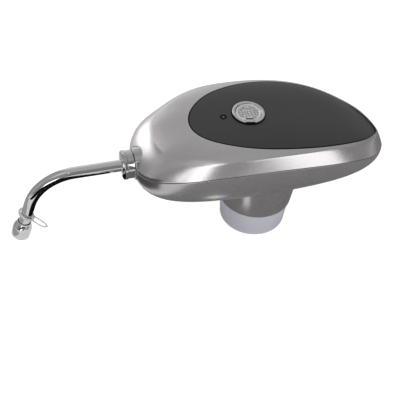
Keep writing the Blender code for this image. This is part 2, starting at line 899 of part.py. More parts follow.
def make_light():
    foot = board_top_height + gap
    top = outer_skin.top(light_station, 0.0) + light_proud
    light = turned("led_light_pipe", [
        (0, foot), (light_foot_radius, foot), (light_foot_radius, foot + light_foot_thickness),
        (light_radius, foot + light_foot_thickness), (light_radius, top), (0, top)],
        (light_station, 0, 0), sides=small_sides)
    paint(light, "soft clear plastic")


def make_board():
    board = block("control_board", (board_nose_station, -board_half_width, board_bottom_height),
                  (board_tail_station, board_half_width, board_top_height))
    for x, y in board_post_places:
        cut(board, rod(screw_hole_radius, board_bottom_height - overrun,
                       board_top_height + overrun, (x, y, 0)))
    paint(board, "circuit board")

    plunger_foot = plunger_top - plunger_length
    switch = block("push_switch",
                   (button_station - switch_side / 2, -switch_side / 2, switch_foot),
                   (button_station + switch_side / 2, switch_side / 2, switch_top))
    cut(switch, rod(plunger_radius + gap, plunger_foot - button_travel - gap,
                    switch_top + overrun, (button_station, 0, 0)))
    paint(switch, "black plastic")
    plunger = turned("switch_plunger", [
        (0, plunger_foot), (plunger_radius, plunger_foot), (plunger_radius, plunger_top),
        (0, plunger_top)], (button_station, 0, 0), sides=small_sides)
    paint(plunger, "white plastic")


def make_socket():
    """Spout's seat in the nose: a hose barb inside, a boss that shows, and the nipple that
    the nut draws the tube against."""
    seal_seat = seal_radius + gap
    seal_floor = nipple_reach - seal_width - gap
    barb_end = socket_back_reach - port_length
    socket = turned("spout_socket", [
        (port_bore, barb_end), (port_radius, barb_end), (port_radius, socket_back_reach),
        (socket_flange_radius, socket_back_reach),
        (socket_flange_radius, socket_flange_reach),
        (boss_radius, socket_flange_reach), (boss_radius, boss_reach - boss_edge),
        (boss_radius - boss_edge, boss_reach), (nipple_radius, boss_reach),
        (nipple_radius, nipple_reach), (seal_seat, nipple_reach), (seal_seat, seal_floor),
        (tube_seat_radius, seal_floor), (tube_seat_radius, tube_stop_reach),
        (port_bore, tube_stop_reach)], spout_origin, towards_nose, middle_sides)
    paint(socket, "chrome")
    seal = turned("socket_seal", ring_profile(
        tube_seat_radius, seal_radius, seal_floor + gap, nipple_reach),
        spout_origin, towards_nose, middle_sides)
    paint(seal, "dark rubber")


def make_nut():
    body_radius = nut_radius - nut_step
    hollow = nipple_radius + gap + facet_room
    band_reach = nut_front_reach - nut_band
    nut = turned("coupling_nut", [
        (tube_seat_radius, nut_front_reach),
        (nut_radius - nut_edge, nut_front_reach),
        (nut_radius, nut_front_reach - nut_edge),
        (nut_radius, band_reach), (body_radius, band_reach - nut_step),
        (body_radius, nut_back_reach), (hollow, nut_back_reach),
        (hollow, nut_hollow_reach), (tube_seat_radius, nut_hollow_reach)],
        spout_origin, towards_nose)
    paint(nut, "chrome")


def make_spout():
    start = Vector((-tube_stop_reach - gap, 0, spout_axis_height))
    path = [start, bend_start]
    for k in range(1, bend_steps + 1):
        angle = bend_angle * k / bend_steps
        path.append(bend_middle + bend_radius * Vector((-sin(angle), 0, cos(angle))))
    path.append(tip_origin + outlet_axis * (tip_step_depth - gap))
    tube = swept("spout_tube", path, tube_radius, tube_bore, tube_sides)
    turn_about(tube, spout_origin)
    paint(tube, "chrome")
    collar = turned("tube_ferrule", ring_profile(
        tube_seat_radius, tube_collar_radius, tube_collar_back_reach,
        tube_collar_back_reach + tube_collar_thickness),
        spout_origin, towards_nose, middle_sides)
    paint(collar, "steel")
    ride_on(collar, tube)
    return tube


def make_outlet_tip(tube):
    shoulder = tip_neck_length + tip_shoulder_length
    mouth = tip_radius - tip_mouth_wall
    step_end = tip_step_depth + tip_step_thickness
    tip = turned("outlet_tip", [
        (tube_seat_radius, 0), (tip_neck_radius, 0), (tip_neck_radius, tip_neck_length),
        (tip_radius, shoulder), (tip_radius, tip_length - tip_edge),
        (tip_radius - tip_edge, tip_length), (mouth, tip_length), (mouth, step_end),
        (tube_bore, step_end), (tube_bore, tip_step_depth),
        (tube_seat_radius, tip_step_depth)],
        tip_origin, outlet_axis, middle_sides)
    paint(tip, "chrome")
    ride_on(tip, tube)

    screen_end = tip_length - screen_set_back
    screen_start = screen_end - screen_thickness
    screen = turned("outlet_screen", [
        (0, screen_start), (mouth - gap, screen_start), (mouth - gap, screen_end),
        (0, screen_end)], tip_origin, outlet_axis, middle_sides)
    hole_circle = mouth * screen_hole_circle_share
    places = [(0, 0)] + [(hole_circle * cos(tau * k / screen_hole_count),
                          hole_circle * sin(tau * k / screen_hole_count))
                         for k in range(screen_hole_count)]
    bpy.context.view_layer.update()
    for x, y in places:
        middle = screen.matrix_world @ Vector((x, y, 0))
        cut(screen, rod(screen_hole_radius, screen_start - overrun, screen_end + overrun,
                        middle, outlet_axis, 8))
    paint(screen, "steel")
    ride_on(screen, tip)


def make_ring_clip(tube):
    """Loose ring that hangs a little crooked on the tube, with a wire loop to pull it by."""
    half = clip_thickness / 2
    clip = turned("ring_clip", ring_profile(clip_bore, clip_bore + clip_wall, -half, half),
                  sides=middle_sides)
    clip.data.transform(Matrix.Rotation(-clip_tilt, 4, "Y"))
    route = [Vector((loop_reach * out, -loop_side * side, loop_drop * down))
             for out, side, down in loop_route_shares]
    join(clip, swept("loop", rounded(route, 2), loop_wire_radius, 0, 6))
    outward = Vector((-outlet_axis.z, 0, outlet_axis.x))
    across = outlet_axis.cross(outward)
    clip.rotation_quaternion = Matrix((outward, across, outlet_axis)).transposed(
        ).to_quaternion()
    clip.location = clip_origin
    paint(clip, "soft clear plastic")
    ride_on(clip, tube)


def make_collar():
    """Collar that shows below the housing, with a web across it and a flange inside the
    shell."""
    outside = []
    for share in even_shares(collar_steps):
        swell = sin(share * pi / 2)
        outside.append((collar_rim_radius + (collar_top_radius - collar_rim_radius) * swell,
                        collar_rim_height + (collar_top_height - collar_rim_height) * share))
    flange_top = collar_top_height + collar_flange_thickness
    inside = collar_top_radius - collar_wall
    collar = turned("neck_collar", [
        (stem_hole_radius, collar_web_bottom), (collar_bore, collar_web_bottom),
        (collar_bore, collar_rim_height), *outside,
        (collar_flange_radius, collar_top_height), (collar_flange_radius, flange_top),
        (inside, flange_top), (inside, collar_web_top), (stem_hole_radius, collar_web_top)])
    paint(collar, "silver paint")


def make_neck_sleeve():
    """Sleeve that slips over the bottle's neck, and the seal that lands on its rim."""
    sleeve = turned("bottle_adapter", [
        (adapter_hole_radius, adapter_roof_bottom), (adapter_roof_bore, adapter_roof_bottom),
        (neck_radius, adapter_foot_height), (adapter_foot_radius, adapter_foot_height),
        (adapter_radius, collar_rim_height), (adapter_radius, adapter_roof_top),
        (adapter_hole_radius, adapter_roof_top)])
    paint(sleeve, "frosted plastic")
    seal = turned("rim_seal", ring_profile(
        rim_seal_bore, rim_seal_radius, 0, rim_seal_thickness))
    paint(seal, "dark rubber")


def make_stem():
    barbs = []
    for k in range(barb_count):
        foot = stem_foot_height + k * barb_pitch
        barbs += [(stem_radius, foot), (stem_radius + barb_step, foot + barb_pitch)]
    stem = turned("intake_stem", [
        (stem_bore, stem_foot_height), *barbs,
        (stem_radius, stem_foot_height + barb_count * barb_pitch),
        (stem_radius, stem_shoulder_height), (stem_body_radius, stem_shoulder_height),
        (stem_body_radius, stem_flange_bottom), (stem_flange_radius, stem_flange_bottom),
        (stem_flange_radius, stem_flange_top), (stem_radius, stem_flange_top),
        (stem_radius, stem_top_height), (stem_bore, stem_top_height)], sides=middle_sides)
    paint(stem, "white plastic")


def make_chassis():
    tail = chassis_tail_reach - chassis_corner
    nose = chassis_corner - chassis_nose_reach
    side = chassis_half_width - chassis_corner
    corners = ((tail, side, 0), (nose, side, 90), (nose, -side, 180), (tail, -side, 270))
    outline = []
    for x, y, start in corners:
        for share in even_shares(chassis_corner_steps):
            angle = radians(start + 90 * share)
            outline.append((x + chassis_corner * cos(angle), y + chassis_corner * sin(angle)))
    chassis = plate("chassis_plate", outline, chassis_bottom, chassis_top)
    below = chassis_bottom - overrun
    above = chassis_top + overrun
    cut(chassis, rod(chassis_hole_radius, below, above, sides=middle_sides))
    for x, y in chassis_post_places:
        cut(chassis, rod(screw_hole_radius, below, above, (x, y, 0)))
    paint(chassis, "black plastic")


def make_motor():
    """Can, end cap and rotor."""
    tail = -motor_tail_station
    inside = motor_radius - motor_wall
    can = turned("motor_can", [
        (shaft_hole_radius, motor_nose_reach - motor_wall),
        (inside, motor_nose_reach - motor_wall), (inside, tail), (motor_radius, tail),
        (motor_radius, motor_nose_reach), (shaft_hole_radius, motor_nose_reach)],
        motor_origin, towards_nose, middle_sides)
    paint(can, "steel")

    plug = inside - gap
    cap_front = tail - gap
    plug_end = cap_front + motor_cap_plug
    bearing_floor = plug_end - bearing_depth
    cap = turned("motor_end_cap", [
        (0, cap_front - motor_cap_thickness), (motor_radius, cap_front - motor_cap_thickness),
        (motor_radius, cap_front), (plug, cap_front), (plug, plug_end),
        (shaft_hole_radius, plug_end), (shaft_hole_radius, bearing_floor), (0, bearing_floor)],
        motor_origin, towards_nose, middle_sides)
    paint(cap, "black plastic")

    armature_back = (tail + motor_nose_reach - armature_length) / 2
    armature_front = armature_back + armature_length
    shaft_front = pump_front_reach - pump_wall
    shaft = turned("motor_shaft", [
        (0, bearing_floor + gap), (shaft_radius, bearing_floor + gap),
        (shaft_radius, armature_back), (armature_radius, armature_back),
        (armature_radius, armature_front), (shaft_radius, armature_front),
        (shaft_radius, shaft_front), (0, shaft_front)],
        motor_origin, towards_nose, small_sides)
    paint(shaft, "steel")


def make_motor_mount():
    """Cradle under the motor and the strap that holds it down."""
    cradle_top = cradle_foot + cradle_height
    cradle_tail = motor_tail_station - cradle_set_back
    cradle_nose = cradle_tail - cradle_length
    seat_radius = motor_radius + gap + facet_room
    cradle = block("motor_cradle", (cradle_nose, -cradle_half_width, cradle_foot),
                   (cradle_tail, cradle_half_width, cradle_top))
    cut(cradle, rod(seat_radius, -cradle_tail - overrun, overrun - cradle_nose,
                    motor_origin, towards_nose, middle_sides))
    paint(cradle, "black plastic")

    strap_nose = (cradle_tail + cradle_nose - strap_width) / 2
    strap_tail = strap_nose + strap_width
    strap_foot = cradle_top + gap
    half_chord = seat_radius * cos(asin((motor_axis_height - strap_foot) / seat_radius))
    strap = turned("motor_strap", ring_profile(
        seat_radius, seat_radius + strap_thickness, -strap_tail, -strap_nose),
        motor_origin, towards_nose, middle_sides)
    cut(strap, block("below", (strap_nose - overrun, -cradle_half_width, 0),
                     (strap_tail + overrun, cradle_half_width, strap_foot)))
    for side in (-1, 1):
        inner, outer = sorted((side * (half_chord + gap), side * cradle_half_width))
        join(strap, block("foot", (strap_nose, inner, strap_foot),
                          (strap_tail, outer, strap_foot + strap_thickness)))
    paint(strap, "steel")


def make_pump():
    """Cup with a side inlet, cover with the outlet barb, and the vaned impeller."""
    housing = turned("pump_housing", [
        (shaft_hole_radius, pump_back_reach), (pump_radius, pump_back_reach),
        (pump_radius, pump_front_reach), (chamber_radius, pump_front_reach),
        (chamber_radius, chamber_back_reach), (shaft_hole_radius, chamber_back_reach)],
        motor_origin, towards_nose, middle_sides)
    inlet = (port_station, 0, motor_axis_height)
    join(housing, rod(port_radius, chamber_radius + pump_wall / 2, port_tip_side, inlet,
                      (0, 1, 0)))
    cut(housing, rod(port_bore, chamber_radius - overrun, port_tip_side + overrun, inlet,
                     (0, 1, 0)))
    paint(housing, "black plastic")

    cover = turned("pump_cover", [
        (0, cover_back_reach), (pump_radius, cover_back_reach),
        (pump_radius, cover_front_reach), (0, cover_front_reach)],
        motor_origin, towards_nose, middle_sides)
    join(cover, rod(port_radius, (cover_back_reach + cover_front_reach) / 2,
                    cover_front_reach + port_length, spout_origin, towards_nose))
    cut(cover, rod(port_bore, cover_back_reach - overrun,
                   cover_front_reach + port_length + overrun, spout_origin, towards_nose))
    paint(cover, "black plastic")

    vane_tip = chamber_radius - gap - facet_room
    half_root = asin(impeller_vane_width / 2 / impeller_hub_radius)
    half_tip = asin(impeller_vane_width / 2 / vane_tip)
    outline = []
    for k in range(impeller_vane_count):
        middle = tau * k / impeller_vane_count
        for radius, angle in ((impeller_hub_radius, middle - half_root),
                              (vane_tip, middle + impeller_lean - half_tip),
                              (vane_tip, middle + impeller_lean + half_tip),
                              (impeller_hub_radius, middle + half_root)):
            outline.append((radius * cos(angle), radius * sin(angle)))
    back = chamber_back_reach + gap
    impeller = plate("impeller", outline, back, pump_front_reach - gap)
    cut(impeller, rod(shaft_hole_radius, back - overrun, pump_front_reach - pump_wall + gap))
    impeller.rotation_mode = "QUATERNION"
    impeller.rotation_quaternion = Vector((0, 0, 1)).rotation_difference(
        Vector(towards_nose))
    impeller.location = motor_origin
    paint(impeller, "white plastic")


def make_hoses():
    outlet = swept("outlet_hose", [
        (-cover_front_reach - gap, 0, spout_axis_height),
        (-socket_back_reach + gap, 0, spout_axis_height)],
        hose_radius, hose_bore, small_sides)
    paint(outlet, "soft clear plastic")

    foot = Vector((0, 0, stem_top_height - hose_overlap))
    top = Vector((0, 0, stem_top_height + gap))
    beside = Vector((motor_tail_station, hose_side_reach, motor_axis_height))
    corner = hose_side_reach - port_tip_side
    turn_start = Vector((port_station + corner, hose_side_reach, motor_axis_height))
    turn_end = Vector((port_station, port_tip_side, motor_axis_height))
    port_root = Vector((port_station, pump_radius + gap, motor_axis_height))
    half_corner = corner / 2
    route = [foot, top]
    route += bend(top, Vector((0, 0, hose_lift)), beside, Vector((-hose_lift, 0, 0)),
                  hose_bend_steps)
    route += [turn_start]
    route += bend(turn_start, Vector((-half_corner, 0, 0)), turn_end,
                  Vector((0, -half_corner, 0)), hose_bend_steps)
    route += [port_root]
    inlet = swept("inlet_hose", route, hose_radius, hose_bore, hose_sides)
    paint(inlet, "soft clear plastic")


def make_battery():
    half = cell_radius * 2 + cell_spacing / 2 + gap + tray_wall
    foot = chassis_top + gap
    floor = foot + tray_wall
    row_start = battery_station + tray_wall + gap
    cell_start = row_start + contact_thickness + gap
    row_end = cell_start + cell_length + cell_cap_height + gap
    tray = block("battery_tray", (battery_station, -half, foot),
                 (row_end + tray_wall, half, foot + tray_height))
    cut(tray, block("room", (battery_station + tray_wall, tray_wall - half, floor),
                    (row_end, half - tray_wall, foot + tray_height + overrun)))
    paint(tray, "black plastic")

    contact = block("battery_contact", (row_start, -cell_radius, floor + gap),
                    (row_start + contact_thickness, cell_radius, floor + contact_height))
    paint(contact, "steel")

    for number, side in ((1, -1), (2, 1)):
        centre = (cell_start, side * (cell_radius + cell_spacing / 2), floor + gap + cell_radius)
        cell = turned(f"battery_cell_{number}", [
            (0, 0), (cell_radius - cell_edge, 0), (cell_radius, cell_edge),
            (cell_radius, cell_length - cell_edge), (cell_radius - cell_edge, cell_length),
            (cell_cap_radius, cell_length), (cell_cap_radius, cell_length + cell_cap_height),
            (0, cell_length + cell_cap_height)], centre, (1, 0, 0), middle_sides)
        paint(cell, "cell wrap")


def make_charge_socket():
    bore_floor = charge_reach - charge_depth
    pin_end = bore_floor + charge_pin_length
    socket = turned("charge_socket", [
        (0, charge_reach - charge_length), (charge_radius, charge_reach - charge_length),
        (charge_radius, charge_reach), (charge_bore, charge_reach),
        (charge_bore, bore_floor), (charge_pin_radius, bore_floor),
        (charge_pin_radius, pin_end), (0, pin_end)],
        (0, 0, charge_axis_height), (1, 0, 0), small_sides)
    paint(socket, "black plastic")


def make_screw(name, seat, direction, length):
    """Screw whose head's underside lies at its seat, with its shank along the direction."""
    screw = turned(name, [
        (0, -screw_head_height), (screw_head_radius, -screw_head_height),
        (screw_head_radius, 0), (screw_radius, 0), (screw_radius, length), (0, length)],
        seat, direction, small_sides)
    paint(screw, "steel")


def make_screws():
    up = (0, 0, 1)
    down = (0, 0, -1)
    roof = shell_post_split_height - gap - well_roof
    for number, (x, y) in enumerate(shell_post_places, 1):
        make_screw(f"shell_screw_{number}", (x, y, roof - gap), up, shell_screw_length)
    for number, (x, y) in enumerate(chassis_post_places, 1):
        make_screw(f"chassis_screw_{number}", (x, y, chassis_top + gap), down,
                   chassis_screw_length - gap)
    for number, (x, y) in enumerate(board_post_places, 1):
        make_screw(f"board_screw_{number}", (x, y, board_bottom_height - gap), up,
                   board_screw_length)


clear_scene()
make_upper_shell()
make_lower_shell()
make_gasket()
make_top_panel()
make_bezel()
make_button_cap()
make_button_spring()
make_light()
make_board()
make_socket()
make_nut()
spout_tube = make_spout()
make_outlet_tip(spout_tube)
make_ring_clip(spout_tube)
make_collar()
make_neck_sleeve()
make_stem()
make_chassis()
make_motor()
make_motor_mount()
make_pump()
make_hoses()
make_battery()
make_charge_socket()
make_screws()
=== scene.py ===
# %% [markdown]
# # An electric pump with a bent spout
# The pump is an egg of silver plastic on a round collar, with a dark panel and a push button
# on top and a bent chrome spout at its nose. Its solids, joints and works come from a CAD
# model that is loaded here and never changed. This lesson makes what is seen: finer shells,
# turned metal, soft rings, and a finish for every piece.

import json
from math import cos, exp, hypot, pi, radians, sin, tau

import bpy
import bmesh
from mathutils import Matrix, Vector


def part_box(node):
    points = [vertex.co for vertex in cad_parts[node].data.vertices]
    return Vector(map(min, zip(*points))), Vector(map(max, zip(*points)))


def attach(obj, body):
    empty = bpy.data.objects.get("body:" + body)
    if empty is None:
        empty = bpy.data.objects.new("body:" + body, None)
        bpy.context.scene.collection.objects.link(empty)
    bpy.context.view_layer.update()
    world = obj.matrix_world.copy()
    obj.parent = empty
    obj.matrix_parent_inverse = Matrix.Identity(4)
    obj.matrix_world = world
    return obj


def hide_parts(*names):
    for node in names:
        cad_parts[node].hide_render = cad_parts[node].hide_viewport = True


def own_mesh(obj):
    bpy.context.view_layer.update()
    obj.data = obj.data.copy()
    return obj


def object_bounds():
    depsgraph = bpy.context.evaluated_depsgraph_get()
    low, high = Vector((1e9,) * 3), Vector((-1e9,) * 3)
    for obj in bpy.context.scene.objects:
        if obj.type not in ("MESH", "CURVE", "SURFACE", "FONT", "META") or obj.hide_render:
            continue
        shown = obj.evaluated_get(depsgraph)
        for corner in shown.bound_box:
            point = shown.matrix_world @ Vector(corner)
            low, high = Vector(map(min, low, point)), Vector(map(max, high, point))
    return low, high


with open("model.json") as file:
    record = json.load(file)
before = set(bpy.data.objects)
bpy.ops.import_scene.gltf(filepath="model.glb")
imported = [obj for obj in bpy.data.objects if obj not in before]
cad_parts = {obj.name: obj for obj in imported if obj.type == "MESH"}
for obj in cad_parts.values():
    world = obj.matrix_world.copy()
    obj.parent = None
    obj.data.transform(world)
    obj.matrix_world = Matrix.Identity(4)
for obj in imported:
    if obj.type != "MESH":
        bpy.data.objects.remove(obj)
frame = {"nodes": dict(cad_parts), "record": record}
cad_box = [list(corner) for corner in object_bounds()]

# %% [markdown]
# ## The camera
# The photograph looks down on the pump from its left, with a longish lens and a slight roll.
# The camera is placed from the three directions of its own axes, because that keeps the
# angle, the height and the roll as three plain numbers.

# %% Place the camera
turn, lift, roll = radians(-20.4), radians(46.5), radians(5.6)
backwards = Vector((sin(turn) * cos(lift), -cos(turn) * cos(lift), sin(lift)))
level = Vector((cos(turn), sin(turn), 0))
upright = backwards.cross(level)
rightwards = level * cos(roll) + upright * sin(roll)
upwards = upright * cos(roll) - level * sin(roll)

camera_place = (-0.2556, -0.5476, 0.6043)
bpy.ops.object.camera_add()
camera = bpy.context.object
camera.name = "camera"
camera.matrix_world = Matrix.Translation(camera_place) @ Matrix(
    (rightwards, upwards, backwards)).transposed().to_4x4()
camera.data.lens = 85
camera.data.sensor_width = 36
camera.data.clip_start = 0.01
bpy.context.scene.camera = camera
print("the camera is", round(camera.location.length, 3), "m from the origin")

# %% [markdown]
# ## Working by hand, in code
# Each tool of Blender's edit mode is an operator that acts on what is selected. So every
# piece starts with nothing selected, and these short helpers pick one piece, open it and
# close it again.

# %% Helpers for picking and closing a piece
mm = 0.001
weld_distance = 0.002 * mm


def deselect():
    if bpy.context.mode != "OBJECT":
        bpy.ops.object.mode_set(mode="OBJECT")
    bpy.ops.object.select_all(action="DESELECT")


def pick(*pieces):
    deselect()
    for piece in pieces:
        piece.select_set(True)
    bpy.context.view_layer.objects.active = pieces[0]


def open_up(piece):
    pick(piece)
    bpy.ops.object.mode_set(mode="EDIT")
    bpy.ops.mesh.select_all(action="SELECT")


def weld(piece):
    """Joins points that lie on each other and turns every face outwards."""
    open_up(piece)
    bpy.ops.mesh.remove_doubles(threshold=weld_distance)
    bpy.ops.mesh.normals_make_consistent(inside=False)
    deselect()


def apply(piece, kind, **settings):
    pick(piece)
    modifier = piece.modifiers.new(kind.title(), kind)
    for name, value in settings.items():
        setattr(modifier, name, value)
    bpy.ops.object.modifier_apply(modifier=modifier.name)


def soften(piece, width, steps=3, sharper_than=30):
    """Rounds the sharp edges, as a mould or a lathe tool leaves them."""
    apply(piece, "BEVEL", width=width, segments=steps, limit_method="ANGLE",
          angle_limit=radians(sharper_than), use_clamp_overlap=True)


def smooth(piece, angle=32):
    pick(piece)
    bpy.ops.object.shade_smooth_by_angle(angle=radians(angle))


def settle(piece):
    """Puts the piece's place, turn and size into its mesh."""
    pick(piece)
    bpy.ops.object.transform_apply(location=True, rotation=True, scale=True)


def carve(piece, *cutters):
    for cutter in cutters:
        apply(piece, "BOOLEAN", operation="DIFFERENCE", solver="EXACT", object=cutter)
        bpy.data.objects.remove(cutter, do_unlink=True)


# %% [markdown]
# ## Turned pieces
# The nut, the boss, the outlet, the collar and the sleeve are all round. On a lathe they
# would be turned; here half of their section is drawn by extruding one point from corner to
# corner, and the spin tool sweeps it round the axis.

# %% A lathe
def turned(name, section, origin=(0, 0, 0), axis=(0, 0, 1), steps=96, edge=0.0, loop=False):
    """Sweeps a section of (radius, height) points round an axis."""
    deselect()
    bpy.ops.mesh.primitive_plane_add(size=mm)
    piece = bpy.context.object
    piece.name = name
    bpy.ops.object.mode_set(mode="EDIT")
    bpy.ops.mesh.merge(type="CENTER")
    bpy.ops.transform.translate(value=(section[0][0], 0, section[0][1]))
    for here, there in zip(section, section[1:]):
        bpy.ops.mesh.extrude_region_move(TRANSFORM_OT_translate={
            "value": (there[0] - here[0], 0, there[1] - here[1])})
    if loop:
        mesh = bmesh.from_edit_mesh(piece.data)
        free = [point for point in mesh.verts if len(point.link_edges) == 1]
        for point in mesh.verts:
            point.select_set(point in free)
        mesh.select_flush_mode()
        bmesh.update_edit_mesh(piece.data)
        bpy.ops.mesh.edge_face_add()
    bpy.ops.mesh.select_all(action="SELECT")
    bpy.ops.mesh.spin(steps=steps, angle=tau, center=(0, 0, 0), axis=(0, 0, 1))
    weld(piece)
    piece.rotation_mode = "QUATERNION"
    piece.rotation_quaternion = Vector((0, 0, 1)).rotation_difference(Vector(axis))
    piece.location = origin
    settle(piece)
    if edge:
        soften(piece, edge)
    smooth(piece)
    return piece


def in_mm(*points):
    """A section that is written in millimetres."""
    return [(radius * mm, height * mm) for radius, height in points]


def plug(radius, low, high, origin=(0, 0, 0), axis=(0, 0, 1), steps=64):
    """A plain round cutter."""
    return turned("plug", [(0, low), (radius, low), (radius, high), (0, high)],
                  origin, axis, steps)


# %% [markdown]
# ## Draped pieces
# The shells and the panel follow a form that is curved both ways. A flat grid is added, and
# each of its rows is laid on one line of the form, as a pattern maker lays strips on a plug.

# %% A draping grid
def draped(name, rows):
    """Lays a grid on rings of places, and welds its two ends together."""
    around, last = len(rows[0]), len(rows) - 1
    deselect()
    bpy.ops.mesh.primitive_grid_add(x_subdivisions=around, y_subdivisions=last, size=1)
    piece = bpy.context.object
    piece.name = name
    for point in piece.data.vertices:
        column = round((point.co.x + 0.5) * around) % around
        point.co = rows[round((point.co.y + 0.5) * last)][column]
    weld(piece)
    return piece


# %% [markdown]
# ## Wires and hoses
# A wire is a path with a round section. Blender's path curve is given the points, thickened,
# and turned into a mesh.

# %% A path with thickness
def wire(name, points, radius, fineness=6, closed_ends=True):
    deselect()
    bpy.ops.curve.primitive_nurbs_path_add()
    piece = bpy.context.object
    piece.name = name
    spline = piece.data.splines[0]
    spline.points.add(len(points) - len(spline.points))
    for point, place in zip(spline.points, points):
        point.co = (*place, 1)
    spline.order_u = 3
    spline.resolution_u = 4
    spline.use_endpoint_u = True
    piece.data.bevel_depth = radius
    piece.data.bevel_resolution = fineness
    piece.data.use_fill_caps = closed_ends
    bpy.ops.object.convert(target="MESH")
    piece = bpy.context.object
    settle(piece)
    weld(piece)
    smooth(piece, 60)
    return piece


# %% [markdown]
# ## Sums in a material
# A material is a chain of nodes. To write its sums as sums, `Line` holds one output and
# lends Python's operators to it, and `Blend` adds any other node by its type.

# %% Lines and blends
class Line:
    """One output in a node tree. A sum with it adds the Math nodes."""

    def __init__(self, blend, socket):
        self.blend, self.socket = blend, socket

    def maths(self, operation, *values):
        return self.blend.node("ShaderNodeMath", {"operation": operation},
                               dict(enumerate(values)))

    def __add__(self, other):
        return self.maths("ADD", self, other)

    def __radd__(self, other):
        return self.maths("ADD", other, self)

    def __sub__(self, other):
        return self.maths("SUBTRACT", self, other)

    def __rsub__(self, other):
        return self.maths("SUBTRACT", other, self)

    def __mul__(self, other):
        return self.maths("MULTIPLY", self, other)

    def __rmul__(self, other):
        return self.maths("MULTIPLY", other, self)

    def __truediv__(self, other):
        return self.maths("DIVIDE", self, other)

    def __pow__(self, other):
        return self.maths("POWER", self, other)

    def __gt__(self, other):
        return self.maths("GREATER_THAN", self, other)

    def __lt__(self, other):
        return self.maths("LESS_THAN", self, other)

    def sine(self):
        return self.maths("SINE", self)

    def held(self):
        """Kept between 0 and 1."""
        return self.maths("MAXIMUM", self.maths("MINIMUM", self, 1.0), 0.0)


class Blend:
    """Adds nodes to one tree."""

    def __init__(self, tree):
        self.tree = tree

    def node(self, kind, settings=None, values=None, out=0):
        made = self.tree.nodes.new(kind)
        for name, value in (settings or {}).items():
            setattr(made, name, value)
        for name, value in (values or {}).items():
            if isinstance(value, Line):
                self.tree.links.new(value.socket, made.inputs[name])
            else:
                made.inputs[name].default_value = value
        return Line(self, made.outputs[out])

    def between(self, share, first, second):
        """A colour part of the way from the first to the second."""
        return self.node("ShaderNodeMix", {"data_type": "RGBA"},
                         {0: share, 6: first, 7: second}, out=2)

    def rays(self):
        """Masks of what the camera sees itself, in a mirror and through clear plastic."""
        path = self.tree.nodes.new("ShaderNodeLightPath")
        return [Line(self, path.outputs[kind])
                for kind in ("Is Camera Ray", "Is Glossy Ray", "Is Transmission Ray")]

    def axes(self, place):
        """The three parts of a place or a direction."""
        split = self.tree.nodes.new("ShaderNodeSeparateXYZ")
        self.tree.links.new(place.socket, split.inputs[0])
        return [Line(self, split.outputs[axis]) for axis in "XYZ"]


# %% [markdown]
# Every finish starts from Blender's Principled shader. `Finish` sets its plain numbers, and
# adds grain and relief from noise that is fixed to the object, in metres, so that a scale of
# 1000 gives marks about a millimetre apart.

# %% A finish
def shade(red, green, blue, factor=1.0):
    return (red * factor, green * factor, blue * factor, 1.0)


class Finish(Blend):
    def __init__(self, name, **plain):
        self.material = bpy.data.materials.new(name)
        self.material.use_nodes = True
        super().__init__(self.material.node_tree)
        self.shader = self.tree.nodes["Principled BSDF"]
        self.place = self.node("ShaderNodeTexCoord", out="Object")
        self.set(**plain)
        print("finish", name)

    def set(self, **values):
        for name, value in values.items():
            socket = self.shader.inputs[name.replace("_", " ")]
            if isinstance(value, Line):
                self.tree.links.new(value.socket, socket)
            else:
                socket.default_value = value

    def stretched(self, x, y, z):
        return self.node("ShaderNodeMapping", {}, {"Vector": self.place, "Scale": (x, y, z)})

    def grain(self, scale, detail=2.0, place=None):
        return self.node("ShaderNodeTexNoise", {}, {
            "Vector": place or self.place, "Scale": scale, "Detail": detail})

    def relief(self, height, depth, strength=1.0):
        """Turns a height between 0 and 1 into bumps of that depth."""
        self.set(Normal=self.node("ShaderNodeBump", {}, {
            "Height": height, "Distance": depth, "Strength": strength}))



# %% [markdown]
# ## Silver lacquer
# The shells are moulded plastic under a metallic lacquer. Up close that is a fine sparkle of
# flakes, a faint orange peel from the spray, and a clear coat. The flakes change the colour a
# little, and the peel is a very shallow relief.

# %% Mix the lacquer
lacquer = Finish("silver_lacquer", Metallic=0.86, Coat_Weight=0.22, Coat_Roughness=0.16)
flake = lacquer.grain(3800, 1.0)
cloud = lacquer.grain(26, 2.0)
lacquer.set(
    Base_Color=lacquer.between((flake * 0.7 + cloud * 0.3).held(),
                               shade(0.50, 0.475, 0.484), shade(0.60, 0.575, 0.586)),
    Roughness=0.23 + cloud * 0.05 + flake * 0.03)
lacquer.relief(lacquer.grain(420, 1.0) * 0.7 + flake * 0.3, 0.02 * mm, 0.5)

# %% [markdown]
# ## Satin panel
# The top panel is dark plastic with a fine moulded grain that breaks up its gloss. The grain
# is much finer than a pixel of the photograph, so it only shows as a soft sheen.

# %% Mould the panel's grain
satin = Finish("satin_panel", Coat_Weight=0.10, Coat_Roughness=0.35)
pores = satin.grain(2600, 3.0)
haze = satin.grain(14, 2.0)
satin.set(
    Base_Color=satin.between((pores * 0.6 + haze * 0.4).held(),
                             shade(0.020, 0.020, 0.022), shade(0.038, 0.038, 0.041)),
    Roughness=0.36 + haze * 0.06 + pores * 0.05)
satin.relief(pores, 0.03 * mm, 0.35)

# %% [markdown]
# ## Chrome
# Chrome has hardly any colour of its own: what it shows is the room. Only its gloss changes
# a little, where fingers have wiped it.

# %% Plate the chrome
def plated(name, tone):
    plate = Finish(name, Metallic=1.0, Base_Color=shade(1.0, 1.0, 1.01, tone))
    wiped = plate.grain(90, 4.0)
    plate.set(Roughness=0.035 + (wiped - 0.45).held() * 0.16)
    plate.relief(plate.grain(160, 1.0), 0.01 * mm, 0.3)
    return plate


chrome, nut_chrome = plated("chrome_plate", 0.70), plated("nut_plate", 0.53)
